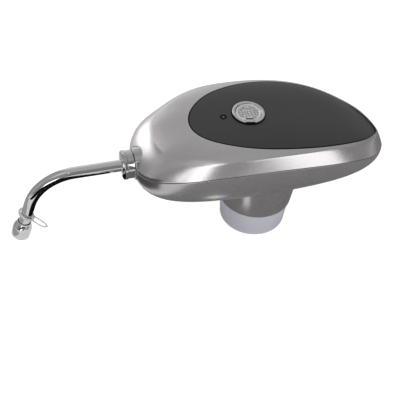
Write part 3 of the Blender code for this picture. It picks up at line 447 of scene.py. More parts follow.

# %% [markdown]
# ## Satin silver for the button
# The cap's disc is cast with a coarse grip. Two waves that cross at a right angle make small
# cushions, with painted shade that darkens their grooves, and a mask keeps them inside the rim.
# The ring round the cap is the same metal, but plain and finely brushed.

# %% Knurl the button, and brush its ring
button_station = -16.6 * mm
grip_radius = 8.9 * mm
knurled = Finish("button_silver", Metallic=0.92)
along_cap, across_cap, _ = knurled.axes(knurled.place)
knurl_x, knurl_y = along_cap - button_station, across_cap
pitch = tau / (5.0 * mm)
swirl = knurled.grain(150, 1.0) * 14.0
cushions = ((knurl_x + knurl_y) * pitch + swirl).sine() * ((knurl_x - knurl_y) * pitch).sine()
reach = (knurl_x * knurl_x + knurl_y * knurl_y) ** 0.5
inside = reach < grip_radius
cast = knurled.grain(900, 2.0)
raised = (cushions * 0.5 + 0.5).held() * inside + (1.0 - inside)
# The colour runs from dark in the grooves to bright on the cushions: painted shade in the
# grooves.
knurled.set(Base_Color=knurled.between((raised * 0.85 + cast * 0.15).held(),
                                       shade(0.26, 0.25, 0.26), shade(0.88, 0.86, 0.88)),
            Roughness=0.26 + cast * 0.14)
knurled.relief(raised * 0.9 + cast * 0.1, 0.5 * mm, 1.0)

brushed = Finish("ring_silver", Metallic=0.95)
lines = brushed.grain(1600, 2.0, brushed.stretched(1, 0.15, 1))
brushed.set(Base_Color=brushed.between(lines, shade(0.58, 0.57, 0.58), shade(0.70, 0.69, 0.70)),
            Roughness=0.24 + lines * 0.12)
brushed.relief(lines, 0.02 * mm, 0.3)

# %% [markdown]
# ## The other finishes
# Frosted and cloudy plastics let some light into themselves. Steel shows the marks of the
# tool that cut it, drawn out in one direction. Rubber is matt and faintly speckled.

# %% Frosted and soft clear plastic
frosted = Finish("frosted_sleeve", Subsurface_Weight=0.35, Subsurface_Scale=0.004,
                 Coat_Weight=0.06, Coat_Roughness=0.4)
frost = frosted.grain(1500, 3.0)
streak = frosted.grain(60, 2.0, frosted.stretched(1, 1, 0.2))
frosted.set(
    Base_Color=frosted.between((frost * 0.5 + streak * 0.5).held(),
                               shade(0.50, 0.50, 0.56), shade(0.62, 0.62, 0.69)),
    Roughness=0.38 + frost * 0.16)
frosted.relief(frost, 0.03 * mm, 0.5)

cloudy = Finish("soft_clear", Subsurface_Weight=0.3, Subsurface_Scale=0.002,
                Transmission_Weight=0.35, IOR=1.42)
milk = cloudy.grain(700, 2.0)
cloudy.set(
    Base_Color=cloudy.between(milk, shade(0.66, 0.65, 0.64), shade(0.80, 0.79, 0.78)),
    Roughness=0.16 + milk * 0.12)
cloudy.relief(milk, 0.02 * mm, 0.4)

# %% [markdown]
# Steel inside the pump is drawn or turned, so its grain is stretched along one axis. Rubber
# and plain moulded plastic only have a fine speckle; one helper makes all the plain plastics.
# The near-perfect black is painted shade: it lines gaps, grooves and slots, and shines less than
# any of them, so that they stay dark.

# %% Steel, rubber and plain plastics
steel = Finish("drawn_steel", Metallic=1.0)
draw = steel.grain(2200, 3.0, steel.stretched(0.06, 1, 1))
steel.set(Base_Color=steel.between(draw, shade(0.46, 0.46, 0.47), shade(0.58, 0.58, 0.59)),
          Roughness=0.22 + draw * 0.16)
steel.relief(draw, 0.01 * mm, 0.5)

rubber = Finish("dark_rubber", Specular_IOR_Level=0.35)
speck = rubber.grain(1900, 3.0)
rubber.set(Base_Color=rubber.between(speck, shade(0.012, 0.012, 0.012), shade(0.03, 0.03, 0.03)),
           Roughness=0.66 + speck * 0.2)
rubber.relief(speck, 0.04 * mm, 0.5)


def plain_plastic(name, low, high, rough=0.42):
    plastic = Finish(name)
    texture = plastic.grain(1400, 3.0)
    plastic.set(Base_Color=plastic.between(texture, shade(*low), shade(*high)),
                Roughness=rough + texture * 0.14)
    plastic.relief(texture, 0.03 * mm, 0.4)
    return plastic


smoked = plain_plastic("smoked_lens", (0.10, 0.10, 0.10), (0.16, 0.16, 0.16), 0.2)
black_plastic = plain_plastic("black_plastic", (0.018, 0.018, 0.019), (0.034, 0.034, 0.036))
white_plastic = plain_plastic("white_plastic", (0.62, 0.62, 0.60), (0.72, 0.72, 0.70), 0.36)
# This black is painted shade for gaps and slots, far darker than any real plastic.
painted_shade_black = plain_plastic("painted_shade_black", (0.001, 0.001, 0.001), (0.004, 0.004, 0.004), 0.5)
painted_shade_black.set(Specular_IOR_Level=0.1)

# %% [markdown]
# The works are hidden, but they are finished too: a green board with paler tracks, and blue
# film shrunk on the cells, with a band round one end.

# %% Board and cell film
board_green = Finish("board_green", Coat_Weight=0.3, Coat_Roughness=0.2)
track_pitch = 2.2 * mm
_, across_board, _ = board_green.axes(board_green.place)
tracks = (((across_board / track_pitch * tau).sine() - 0.55) * 3.0).held()
etched = board_green.grain(380, 2.0)
board_green.set(
    Base_Color=board_green.between((tracks * 0.8 + etched * 0.2).held(),
                                   shade(0.012, 0.10, 0.035), shade(0.04, 0.22, 0.08)),
    Roughness=0.3 + etched * 0.15)
board_green.relief(tracks, 0.04 * mm, 0.6)

film = Finish("cell_film", Coat_Weight=0.4, Coat_Roughness=0.1)
wrinkle = film.grain(240, 3.0)
along_cell, _, _ = film.axes(film.place)
bare_end = along_cell > 80 * mm
film.set(Base_Color=film.between((bare_end * 0.8 + wrinkle * 0.15).held(),
                                 shade(0.03, 0.10, 0.30), shade(0.55, 0.56, 0.58)),
         Roughness=0.22 + wrinkle * 0.2)
film.relief(wrinkle, 0.05 * mm, 0.4)

finish_of = {
    "silver_paint": lacquer, "panel_black": satin, "cap_silver": knurled, "chrome": chrome,
    "steel": steel, "rubber": rubber, "frosted": frosted, "soft_clear": cloudy,
    "black_plastic": black_plastic, "white_plastic": white_plastic,
    "board_green": board_green, "cell_wrap": film}
slot_of = {part["node"]: part["material_slot"] for part in frame["record"]["subparts"]}
for name, node in frame["nodes"].items():
    node.data.materials.clear()
    node.data.materials.append(finish_of[slot_of[name]].material)
print(len(finish_of), "finishes")


def dress(piece, body, slot_name, finish=None):
    """Gives a finished piece its finish and the body that it rides on."""
    piece.data.materials.clear()
    piece.data.materials.append((finish or finish_of[slot_name]).material)
    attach(piece, body)
    print(piece.name, len(piece.data.polygons), "faces")


def stand_in(piece, body, *nodes, finish=None):
    """Dresses a piece that stands for solids of the CAD model."""
    dress(piece, body, slot_of[nodes[0]], finish)
    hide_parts(*nodes)


# %% [markdown]
# ## The form of the housing
# Seen from above the housing is an egg, and its seam is an arch that falls towards both
# ends. Over the seam lies a low dome, under it a deep belly. Each is a bow: a curve that is
# one in the middle and zero at its ends, with a power at each end for how full it is.

# %% Curves of the housing
gap = 0.3 * mm
facet_room = 0.15 * mm
nose_reach, tail_reach = 116.0 * mm, 112.0 * mm
half_width, widest_station = 54.5 * mm, -17.0 * mm
seam_opening = 1.0 * mm
wall, crown_wall, tail_wall = 2.4 * mm, 3.6 * mm, 5.0 * mm


def bow(share, powers):
    """One in the middle and zero at the ends."""
    return max(0.0, 1.0 - abs(share) ** powers[0]) ** (1.0 / powers[1])


def bow_along(x, middle, nose, tail, nose_powers, tail_powers):
    if x < middle:
        return bow((middle - x) / (middle - nose), nose_powers)
    return bow((x - middle) / (tail - middle), tail_powers)


seam_top, seam_top_station = 68.7 * mm, -35.0 * mm
nose_fall, tail_fall = 19.0 * mm, 31.3 * mm


def seam_height(x):
    if x < seam_top_station:
        share = (seam_top_station - x) / (nose_reach + seam_top_station)
        return seam_top - nose_fall * share ** 2.1
    share = (x - seam_top_station) / (tail_reach - seam_top_station)
    return seam_top - tail_fall * share ** 2.4


dome_rise, dome_station = 16.8 * mm, -19.5 * mm
belly_depth, belly_station = 52.2 * mm, -21.0 * mm


class Skin:
    """The outer skin, or a lining inside it."""

    def __init__(self, side=0.0, crown=0.0, nose=0.0, tail=0.0):
        self.nose, self.tail = nose - nose_reach, tail_reach - tail
        self.half = half_width - side
        self.rise = dome_rise - crown
        self.depth = belly_depth - side

    def half_at(self, x):
        return self.half * bow_along(x, widest_station, self.nose, self.tail,
                                     (2.5, 2.4), (2.6, 2.2))

    def across(self, x, y, power):
        half = self.half_at(x)
        if half <= abs(y):
            return 0.0
        return (1.0 - (abs(y) / half) ** power) ** (1.0 / power)

    def top(self, x, y):
        rise = self.rise * bow_along(x, dome_station, self.nose, self.tail,
                                     (2.6, 2.0), (2.0, 2.0))
        return seam_height(x) + seam_opening / 2 + rise * self.across(x, y, 3.0)

    def bottom(self, x, y):
        depth = self.depth * bow_along(x, belly_station, self.nose, self.tail,
                                       (2.6, 2.15), (2.0, 1.8))
        return seam_height(x) - seam_opening / 2 - depth * self.across(x, y, 2.45)


outer = Skin()
dome_lining = Skin(side=wall, crown=crown_wall, nose=wall, tail=tail_wall)
belly_lining = Skin(side=wall, nose=wall, tail=wall)
crown_height = outer.top(button_station, 0.0)
print("the crown is", round(crown_height / mm, 1), "mm over the seal")

# %% [markdown]
# Rings round the form are drawn as outlines: an egg of its own for the seam and the panel,
# a circle for a hole. Between two outlines lie as many rings as the form needs, closer
# together where it turns steep.

# %% Rings on the form
ring_points = 240


def egg(nose, tail, half_at):
    middle, length = (nose + tail) / 2, (tail - nose) / 2
    points = []
    for k in range(ring_points):
        angle = tau * k / ring_points
        x = middle - length * cos(angle)
        side = half_at(x) if k % (ring_points // 2) else 0.0
        points.append((x, -side if angle < pi else side))
    return points


def rim(skin):
    return egg(skin.nose, skin.tail, skin.half_at)


panel_nose, panel_tail, panel_half = -67.0 * mm, 107.0 * mm, 43.0 * mm


def panel_edge(inset):
    """The panel's outline, moved inwards."""
    nose, tail, half = panel_nose + inset, panel_tail - inset, panel_half - inset
    return egg(nose, tail, lambda x: half * bow_along(x, 14.0 * mm, nose, tail,
                                                      (2.15, 2.05), (2.0, 1.55)))


def circle(radius, station=0.0):
    return [(station - radius * cos(tau * k / ring_points),
             -radius * sin(tau * k / ring_points)) for k in range(ring_points)]


def rings(inner, edge, height_at, steps, inwards=False, power=2.2):
    """Rings from the inner outline to the edge, crowded towards the edge."""
    shares = [1.0 - (1.0 - k / steps) ** power for k in range(steps + 1)]
    made = []
    for share in (reversed(shares) if inwards else shares):
        ring = [(a[0] + share * (b[0] - a[0]), a[1] + share * (b[1] - a[1]))
                for a, b in zip(inner, edge)]
        made.append([Vector((x, y, height_at(x, y))) for x, y in ring])
    return made


def below_skin(depth):
    """Height of a sheet that follows the dome at a depth."""
    return lambda x, y: outer.top(x, y) - depth


print(ring_points, "points lie on each ring")

# %% [markdown]
# ## The deck and the shoulder
# Round the panel the dome is a calm deck, and it ends in a crease. At the sides a straight
# band falls from the crease to the seam, which gives the long even highlight. At the nose
# the crease is a soft fold on the round form. So the crease is an outline of its own.

# %% The crease, and the fold at the nose
deck_nose, deck_tail = -97.2 * mm, 110.0 * mm
deck_width, deck_station = 49.6 * mm, -20.0 * mm


def deck_half(x):
    return deck_width * bow_along(x, deck_station, deck_nose, deck_tail, (2.5, 2.25), (2.5, 1.6))


seam_edge, crease = rim(outer), egg(deck_nose, deck_tail, deck_half)


def eased(value, start, end):
    """Rises smoothly from 0 at the start to 1 at the end."""
    share = min(1.0, max(0.0, (value - start) / (end - start)))
    return share * share * (3 - 2 * share)


fold_height, fold_on_deck, fold_on_nose = 1.9 * mm, 15 * mm, 3.4 * mm


def fold(past, side):
    """Height that the fold adds to the dome, by how far past the crease a place lies."""
    swell = fold_height * (1 - eased(side, 16 * mm, 34 * mm))
    if past < 0:
        return swell * exp(past / fold_on_deck)
    return swell * exp(-past / fold_on_nose)


print("the fold stands", round(fold(0, 0) / mm, 1), "mm over the dome")

# %% [markdown]
# The band is worked out line by line. Each line runs from the panel over the crease to the
# seam, and along it the dome is cut back to a nearly straight fall. The cut is soft, so the
# band flows out of the deck, and towards the nose it fades into the fold.

# %% The band of the shoulder
band_bulge = 0.3 * mm


def shoulder(x, y, line, beyond):
    """Height of the silver skin on one line from the panel to the seam."""
    (crease_x, crease_y), (rim_x, rim_y) = crease[line], seam_edge[line]
    width = hypot(rim_x - crease_x, rim_y - crease_y)
    past = beyond * hypot(x - crease_x, y - crease_y)
    share = past / width
    crest = outer.top(crease_x, crease_y) + fold(0.0, abs(crease_y))
    foot = seam_height(rim_x) + seam_opening / 2
    flat = crest + (foot - crest) * share
    if share > 0:
        flat += band_bulge * 4 * share * (1 - share)
    rounded = outer.top(x, y) + fold(past, abs(crease_y)) * (1 - max(0.0, share))
    softness = 0.7 * mm + 3.0 * mm * (1 - eased(crease_x, -80 * mm, -38 * mm))
    blend = softness * min(1.0, max(0.001, 1 - share / 0.4))
    lean = min(1.0, max(0.0, 0.5 + 0.5 * (flat - rounded) / blend))
    cut = flat + (rounded - flat) * lean - blend * lean * (1 - lean)
    return rounded + (cut - rounded) * eased(crease_x, -93 * mm, -68 * mm)


def silver_rings(inner, edge, steps, beyond):
    made = []
    for step in range(steps + 1):
        if beyond > 0:
            share = (1 - cos(pi * step / steps)) / 2
        else:
            share = 1 - (1 - step / steps) ** 2.2
        made.append([])
        for line, (a, b) in enumerate(zip(inner, edge)):
            x, y = a[0] + share * (b[0] - a[0]), a[1] + share * (b[1] - a[1])
            made[-1].append(Vector((x, y, shoulder(x, y, line, beyond))))
    return made


print("the band is", round((half_width - deck_half(deck_station)) / mm, 1), "mm wide at the side")

# %% [markdown]
# ## The upper shell
# One sheet of rings goes from the seam over the dome, down into the panel's pocket, through
# the button's hole and back along the lining, so the shell has real walls. The seat of the
# spout is bored through both shells later, with one cutter each.

# %% Drape the upper shell
spout_height = 47.8 * mm
spout_origin = Vector((0, 0, spout_height))
to_nose = (-1, 0, 0)
boss_radius = 14.0 * mm
light_station = -38.5 * mm
sleeve_radius = 12.4 * mm
button_hole = sleeve_radius + gap + facet_room
rim_round = 0.15 * mm


def seat_cutter():
    return plug(boss_radius + gap, 102 * mm, 130 * mm, spout_origin, to_nose, 96)


def light_cutter():
    return plug(1.7 * mm, 70 * mm, 95 * mm, (light_station, 0, 0), steps=32)


pocket, opening = panel_edge(-0.8 * mm), circle(button_hole, button_station)
band = silver_rings(crease, seam_edge, 26, 1)
deck = silver_rings(pocket, crease, 44, -1)
upper = draped("upper_housing", [
    *reversed(band), *reversed(deck[:-1]),
    *rings(opening, pocket, below_skin(1.5 * mm), 20, inwards=True),
    *rings(opening, rim(dome_lining), dome_lining.top, 20), band[-1]])
soften(upper, rim_round, sharper_than=55)
carve(upper, seat_cutter(), light_cutter())
smooth(upper, 38)
stand_in(upper, "housing", "upper_shell")

# %% [markdown]
# ## The lower shell
# The belly is one sheet as well: from the seam down to the round hole for the collar and
# back up inside. Four wells for the screws and the hole of the charging socket are bored
# from outside, as the mould's pins would leave them.

# %% Drape the lower shell
collar_hole = circle(35.8 * mm + gap)
well_radius, well_roof, socket_height = 3.2 * mm, 44.7 * mm, 30 * mm
lower = draped("lower_housing", [
    *rings(collar_hole, rim(outer), outer.bottom, 56, inwards=True),
    *rings(collar_hole, rim(belly_lining), belly_lining.bottom, 20),
    rings(collar_hole, rim(outer), outer.bottom, 1)[1]])
soften(lower, rim_round, sharper_than=55)
wells = [(-82 * mm, 33 * mm), (-82 * mm, -33 * mm), (70 * mm, 32.5 * mm), (70 * mm, -32.5 * mm)]
carve(lower, seat_cutter(),
      plug(4.3 * mm, 90 * mm, 120 * mm, (0, 0, socket_height), (1, 0, 0), 48),
      *[plug(well_radius, 0, well_roof, (x, y, 0), steps=40) for x, y in wells])
smooth(lower, 38)
stand_in(lower, "housing", "lower_shell")

# %% [markdown]
# Inside each well a tube stands on the belly's floor, and the screw's head sits under its
# roof. The tubes only show from below, as the wells' walls. Their feet follow the belly's
# slope, so they never stand out through it.

# %% Tubes of the wells
def well_ring(x, y, radius, height=None):
    """A ring round a well, at one height or on the belly's slope."""
    ring = []
    for aside_x, aside_y in circle(radius):
        slope = belly_lining.bottom(x + aside_x, y + aside_y) - 0.6 * mm
        ring.append(Vector((x + aside_x, y + aside_y, slope if height is None else height)))
    return ring


for number, (x, y) in enumerate(wells, 1):
    tube = draped(f"well_tube_{number}", [
        well_ring(x, y, radius, height)
        for radius, height in ((well_radius, None), (4.4 * mm, None), (4.4 * mm, 47.7 * mm),
                               (1.7 * mm, 47.7 * mm), (1.7 * mm, well_roof),
                               (well_radius, well_roof), (well_radius, None))])
    smooth(tube, 40)
    dress(tube, "housing", "silver_paint")

# %% [markdown]
# ## The seam
# Between the rims lies a thin strip for the seal, set back from the skin and coloured with the
# painted-shade black, so the seam reads as one clean dark line of the seal's dark and a painted
# shadow all round. It is draped on the housing's own curves, moved inwards, so it can't drift
# from the rims.

# %% Lay the strip
def inside_rim(inset):
    return rim(Skin(side=inset, nose=inset, tail=inset))


strip_front, strip_back, half_strip = inside_rim(0.9 * mm), inside_rim(2.1 * mm), 0.2 * mm
strip = draped("seam_strip", [
    [Vector((x, y, seam_height(x) + rise)) for x, y in edge]
    for edge, rise in ((strip_front, half_strip), (strip_front, -half_strip),
                       (strip_back, -half_strip), (strip_back, half_strip),
                       (strip_front, half_strip))])
carve(strip, seat_cutter())
smooth(strip)
# The seal gets the painted-shade black, which paints the seam's shadow line.
stand_in(strip, "housing", "shell_gasket", finish=painted_shade_black)

# %% [markdown]
# ## The dark panel
# The panel is let into the dome and follows it exactly, a shadow's width inside its pocket.
# It lies on a black sheet of painted shade that fills the bottom of the groove, so the gap reads
# as a crisp black line with the lip of the silver beside it.

# %% Drape the panel and the painted shade of its groove
panel_outline = panel_edge(0.35 * mm)
panel = draped("top_panel_skin", [
    *rings(opening, panel_outline, outer.top, 40, inwards=True),
    *rings(opening, panel_outline, below_skin(1.2 * mm), 8),
    rings(opening, panel_outline, outer.top, 1)[1]])
soften(panel, 0.18 * mm, sharper_than=55)
carve(panel, light_cutter())
smooth(panel, 38)
stand_in(panel, "housing", "top_panel")

# A black sheet in the bottom of the groove: painted shade, not a part.
groove_shade_outer, lip, groove_shade_inner = panel_edge(-0.75 * mm), panel_edge(-0.1 * mm), panel_edge(3 * mm)
groove_shade = draped("panel_groove_shade", [
    [Vector((x, y, outer.top(x, y) - drop * mm)) for x, y in outline]
    for outline, drop in ((groove_shade_outer, 1.49), (groove_shade_outer, 1.15), (lip, 1.15), (lip, 0.12),
                          (panel_edge(0.32 * mm), 0.12), (panel_edge(0.34 * mm), 1.22),
                          (groove_shade_inner, 1.22), (groove_shade_inner, 1.49), (groove_shade_outer, 1.49))])
dress(groove_shade, "housing", "rubber", painted_shade_black)

# %% [markdown]
# ## The button
# A brushed ring stands on the panel and follows its curve; the cap travels in it. The ring
# isn't turned but draped, because its foot has to rise and fall with the dome. A block cuts
# the notch at its near edge, and a thin black washer under it is a painted shadow line.

# %% The ring round the button
notch_turn = radians(-11)


def bezel_ring(radius, offset, follows=True):
    points = []
    for x, y in circle(radius, button_station):
        points.append(Vector((x, y, (outer.top(x, y) if follows else crown_height) + offset)))
    return points


def by_the_button(piece):
    """Turns a cutter made beside the origin to the near edge of the button."""
    settle(piece)
    piece.rotation_euler.z = notch_turn
    piece.location = (button_station, 0, crown_height)
    settle(piece)
    return piece


def block(place, size):
    """A plain box, by its middle and its size in millimetres."""
    deselect()
    bpy.ops.mesh.primitive_cube_add(size=1, location=[v * mm for v in place],
                                    scale=[v * mm for v in size])
    return bpy.context.object


sleeve_bore = 11.2 * mm
bezel = draped("button_ring", [
    bezel_ring(sleeve_bore, -5.0 * mm, False), bezel_ring(sleeve_radius, -5.0 * mm, False),
    bezel_ring(sleeve_radius, 1.0 * mm),
    *[bezel_ring(radius, height) for radius, height in in_mm(
        (13.3, 1.0), (13.7, 1.2), (13.7, 1.5), (13.4, 1.75), (12.8, 1.85), (11.6, 1.7))],
    bezel_ring(sleeve_bore, 1.3 * mm), bezel_ring(sleeve_bore, -5.0 * mm, False)])
carve(bezel, by_the_button(block((0, -14.6, 0), (8.4, 4.4, 8))))
smooth(bezel, 40)
stand_in(bezel, "housing", "button_bezel", finish=brushed)

# A black washer under the ring: a painted shadow line round its foot.
ring_shadow = draped("painted_ring_shadow", [bezel_ring(radius, height) for radius, height in in_mm(
    (12.46, 0.02), (14.6, 0.02), (14.6, 0.2), (14.3, 0.35), (13.35, 0.4), (13.35, 0.97),
    (12.46, 0.97), (12.46, 0.02))])
smooth(ring_shadow, 40)
dress(ring_shadow, "housing", "rubber", painted_shade_black)

# %% [markdown]
# The cap is turned in one piece with its stem, and its disc has a shallow groove round the
# cast grip. At the near edge a slot is cut for a thumb, with a brushed frame let into the
# disc and a black sheet of painted shade at the slot's floor. Both ride with the cap.

# %% Turn the cap and cut its slot
def slot_cutter():
    return by_the_button(block((0, -8.3, 1.2), (6.2, 1.3, 2.2)))


button_radius = 10.5 * mm
stem_foot = 77.58 * mm + gap - crown_height
cap = turned("button_cap_cast", [
    (0, 1.15 * mm), (5.9 * mm, 1.1 * mm), (6.1 * mm, 0.95 * mm), (6.8 * mm, 0.95 * mm),
    (7.0 * mm, 1.1 * mm), (8.9 * mm, 1.0 * mm), (9.1 * mm, 1.15 * mm), (10.5 * mm, 1.15 * mm),
    (10.85 * mm, 0.95 * mm), (10.85 * mm, 0.5 * mm), (button_radius, -0.6 * mm),
    (button_radius, -5.3 * mm),
    (11.9 * mm, -5.3 * mm), (11.9 * mm, -6.3 * mm), (9.2 * mm, -6.3 * mm),
    (9.2 * mm, -1.0 * mm), (1.9 * mm, -1.0 * mm), (1.9 * mm, stem_foot), (0, stem_foot)],
    (button_station, 0, crown_height), steps=128)
carve(cap, slot_cutter())
smooth(cap, 25)
stand_in(cap, "button", "button_cap")

slot_frame = by_the_button(block((0, -8.4, 1.0), (9.4, 3.2, 0.8)))
slot_frame.name = "slot_frame"
soften(slot_frame, 0.25 * mm)
carve(slot_frame, slot_cutter())
smooth(slot_frame)
dress(slot_frame, "button", "cap_silver", brushed)

# A black sheet at the slot's floor: painted shade, so the slot reads dark.
slot_shade = by_the_button(block((0, -8.3, 0.3), (6.1, 1.2, 0.7)))
slot_shade.name = "slot_floor_shade"
dress(slot_shade, "button", "rubber", painted_shade_black)

# %% [markdown]
# Under the cap a small coil spring brings it back.

# %% Wind the spring
coil_low, coil_high, coil_radius = 76.33 * mm, crown_height - 1.65 * mm, 3.2 * mm
turn_points, coil_points = 20, 80
coil = wire("return_coil", [
    (button_station + coil_radius * cos(tau * k / turn_points),
     coil_radius * sin(tau * k / turn_points),
     coil_low + (coil_high - coil_low) * k / coil_points)
    for k in range(coil_points + 1)], 0.35 * mm, 3)
stand_in(coil, "housing", "button_spring")
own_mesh(coil)

# %% [markdown]
# ## The indicator light
# A smoked light pipe comes up through the dome and the panel and ends just over them, with
# a thin rim in the painted-shade black, a painted shadow round its hole. Its height is taken from
# the dome at its own station, so it stays flush.

# %% Turn the light pipe and its rim
light_top = outer.top(light_station, 0) + gap
lens = turned("light_lens", [
    (0, 70.68 * mm), (2.2 * mm, 70.68 * mm), (2.2 * mm, 71.68 * mm), (1.05 * mm, 71.68 * mm),
    (1.05 * mm, light_top - 0.35 * mm), (0.8 * mm, light_top - 0.1 * mm), (0, light_top)],
    (light_station, 0, 0), steps=40)
stand_in(lens, "housing", "led_light_pipe", finish=smoked)
light_ring = turned("light_ring", [
    (1.15 * mm, light_top - 1.4 * mm), (1.65 * mm, light_top - 1.4 * mm),
    (1.65 * mm, light_top - 0.25 * mm), (2.7 * mm, light_top - 0.2 * mm),
    (2.7 * mm, light_top - 0.05 * mm), (2.2 * mm, light_top),
    (1.15 * mm, light_top - 0.3 * mm)], (light_station, 0, 0), steps=40, loop=True)
# The rim gets the painted-shade black: painted shade round the light's hole.
dress(light_ring, "housing", "rubber", painted_shade_black)

# %% [markdown]
# ## The spout's seat and its nut
# The boss stands out of the nose, and the nut draws the tube against it. Both are turned
# and plated, on the spout's axis instead of the upright one. Small rounds on their edges
# catch the light.

# %% Turn the boss
boss = turned("spout_boss", [
    (2.2 * mm, 92.5 * mm), (3.5 * mm, 92.5 * mm), (3.5 * mm, 98 * mm), (15 * mm, 98 * mm),
    (15 * mm, 102 * mm), (boss_radius, 102 * mm), (boss_radius, 114.8 * mm),
    (9.4 * mm, 114.8 * mm), (9.4 * mm, 118.5 * mm), (7.4 * mm, 118.5 * mm),
    (7.4 * mm, 115.8 * mm), (5.3 * mm, 115.8 * mm), (5.3 * mm, 108.3 * mm),
    (2.2 * mm, 108.3 * mm)], spout_origin, to_nose, 128, edge=0.35 * mm, loop=True)
stand_in(boss, "housing", "spout_socket", finish=nut_chrome)

seal = turned("tube_seal", in_mm(
    (5.3, 116.1), (7.1, 116.1), (7.1, 118.5), (5.3, 118.5)),
    spout_origin, to_nose, 96, edge=0.3 * mm, loop=True)
stand_in(seal, "housing", "socket_seal")

# %% [markdown]
# The nut is smooth, without flats: a wide band, a small step and a flat face with a collar
# round the tube. Its small round edges matter more than its faces, because each one holds a
# thin bright line.

# %% Turn the nut
nut = turned("spout_nut", in_mm(
    (5.3, 124.5), (6.2, 124.5), (6.5, 124.2), (11.8, 124.2), (12.5, 123.6), (12.5, 121.1),
    (12.0, 120.7), (12.0, 115.1), (9.85, 115.1), (9.85, 121.5), (5.3, 121.5)),
    spout_origin, to_nose, 144, edge=0.2 * mm, loop=True)
stand_in(nut, "nut", "coupling_nut", finish=nut_chrome)

# %% [markdown]
# ## The bent tube
# The tube is bent from a straight length. A ring of points is extruded along the straight,
# spun round the middle of the bend, and extruded again to the outlet, which keeps every
# ring square to the tube as a bending machine does. Then it gets its wall.

# %% Bend the tube
tube_radius, bend_radius, bend_angle = 5.0 * mm, 40.0 * mm, radians(73.5)
tube_station, bend_station = -108.6 * mm, -164.5 * mm
drop_length, plugged_length = 20.5, 6.7     # in millimetres, under the bend
bend_start = Vector((bend_station, 0, spout_height))
bend_middle = bend_start - Vector((0, 0, bend_radius))
outlet_axis = Vector((-cos(bend_angle), 0, -sin(bend_angle)))
tip_origin = bend_middle + bend_radius * Vector((-sin(bend_angle), 0, cos(bend_angle)))
tip_origin += outlet_axis * drop_length * mm
clip_origin = tip_origin - outlet_axis * 7.9 * mm

deselect()
bpy.ops.mesh.primitive_circle_add(vertices=72, radius=tube_radius,
                                  location=(tube_station, 0, spout_height),
                                  rotation=(0, pi / 2, 0))
tube = bpy.context.object
tube.name = "spout_pipe"
settle(tube)
open_up(tube)
for _ in range(4):
    bpy.ops.mesh.extrude_region_move(TRANSFORM_OT_translate={
        "value": ((bend_station - tube_station) / 4, 0, 0)})
bpy.ops.mesh.spin(steps=48, angle=bend_angle, center=bend_middle, axis=(0, 1, 0))
for _ in range(2):
    bpy.ops.mesh.extrude_region_move(TRANSFORM_OT_translate={
        "value": outlet_axis * (drop_length + plugged_length) * mm / 2})
weld(tube)
print("the tube ends", round(-tube.bound_box[0][2] / mm, 1), "mm under the seal")
apply(tube, "SOLIDIFY", thickness=0.8 * mm, offset=-1)
weld(tube)
smooth(tube)
stand_in(tube, "spout", "spout_tube")

ferrule = turned("tube_collar", in_mm(
    (5.3, 118.8), (8.4, 118.8), (8.4, 121.2), (5.3, 121.2)),
    spout_origin, to_nose, 96, edge=0.3 * mm, loop=True)
stand_in(ferrule, "spout", "tube_ferrule")

# %% [markdown]
# ## The outlet
# A short cap ends the tube: a slim neck, a sloped shoulder and a round body, with a
# pierced screen just inside its mouth that steadies the flow. The cap is turned like the
# nut, and each hole of the screen is bored with a plain round cutter.

# %% Turn the outlet
outlet = turned("outlet_cap", in_mm(
    (5.3, 0), (5.9, 0), (5.9, 1.5), (6.3, 2.1), (7.6, 5.0), (8.0, 6.2), (8.0, 15.0),
    (7.75, 16.1), (7.3, 16.8), (6.8, 16.8), (6.8, 8), (4.2, 8), (4.2, 7), (5.3, 7)),
    tip_origin, outlet_axis, 128, edge=0.25 * mm, loop=True)
stand_in(outlet, "tip", "outlet_tip")

screen = turned("outlet_grille", in_mm(
    (0, 13.4), (6.5, 13.4), (6.5, 15.0), (0, 15.0)), tip_origin, outlet_axis, 96, edge=0.2 * mm)
aside = Vector((-outlet_axis.z, 0, outlet_axis.x))
across = outlet_axis.cross(aside)
hole_radius = 0.62 * mm
for ring_radius, count in ((0, 1), (2.2 * mm, 6), (4.4 * mm, 12)):
    for k in range(count):
        place = tip_origin + ring_radius * (aside * cos(tau * k / count)
                                            + across * sin(tau * k / count))
        carve(screen, plug(hole_radius, 12 * mm, 17 * mm, place, outlet_axis, 16))
smooth(screen)
stand_in(screen, "tip", "outlet_screen")

# %% [markdown]
# ## The soft ring
# A loose ring of cloudy rubber hangs on the tube, a little crooked, with a thin loop that
# pulls it off. The ring is turned, and the loop is a wire that grows out of both its sides.

# %% Turn the ring and draw its loop
ring_frame = Matrix((aside, across, outlet_axis)).transposed().to_4x4()
ring_frame.translation = clip_origin
tilt = Matrix.Rotation(-radians(15), 4, "Y")

soft_ring = turned("soft_ring", in_mm(
    (5.9, -0.7), (6.3, -1.1), (7.1, -1.1), (7.5, -0.6), (7.5, 0.6), (7.1, 1.1), (6.3, 1.1),
    (5.9, 0.7)), steps=96, edge=0.25 * mm, loop=True)
soft_ring.data.transform(ring_frame @ tilt)
loop_out, loop_side, loop_drop = 21.7 * mm, 6.7 * mm, 14.7 * mm
shares = [(0.31, 0.00, 0.14), (0.48, 0.00, 0.28), (0.72, 0.00, 0.54), (0.94, 0.00, 0.80),
          (1.00, 0.00, 0.97), (0.88, 0.00, 1.00), (0.71, 0.00, 0.90), (0.54, 0.00, 0.73),
          (0.38, 0.30, 0.66), (0.26, 0.67, 0.50), (0.12, 0.98, 0.27), (0.04, 1.00, 0.02)]
loop_route = [ring_frame @ Vector((loop_out * out, -loop_side * side, loop_drop * down))
              for out, side, down in shares]
pull_loop = wire("pull_loop", loop_route, 0.7 * mm, 5)
pick(soft_ring, pull_loop)
bpy.ops.object.join()
stand_in(soft_ring, "clip", "ring_clip")

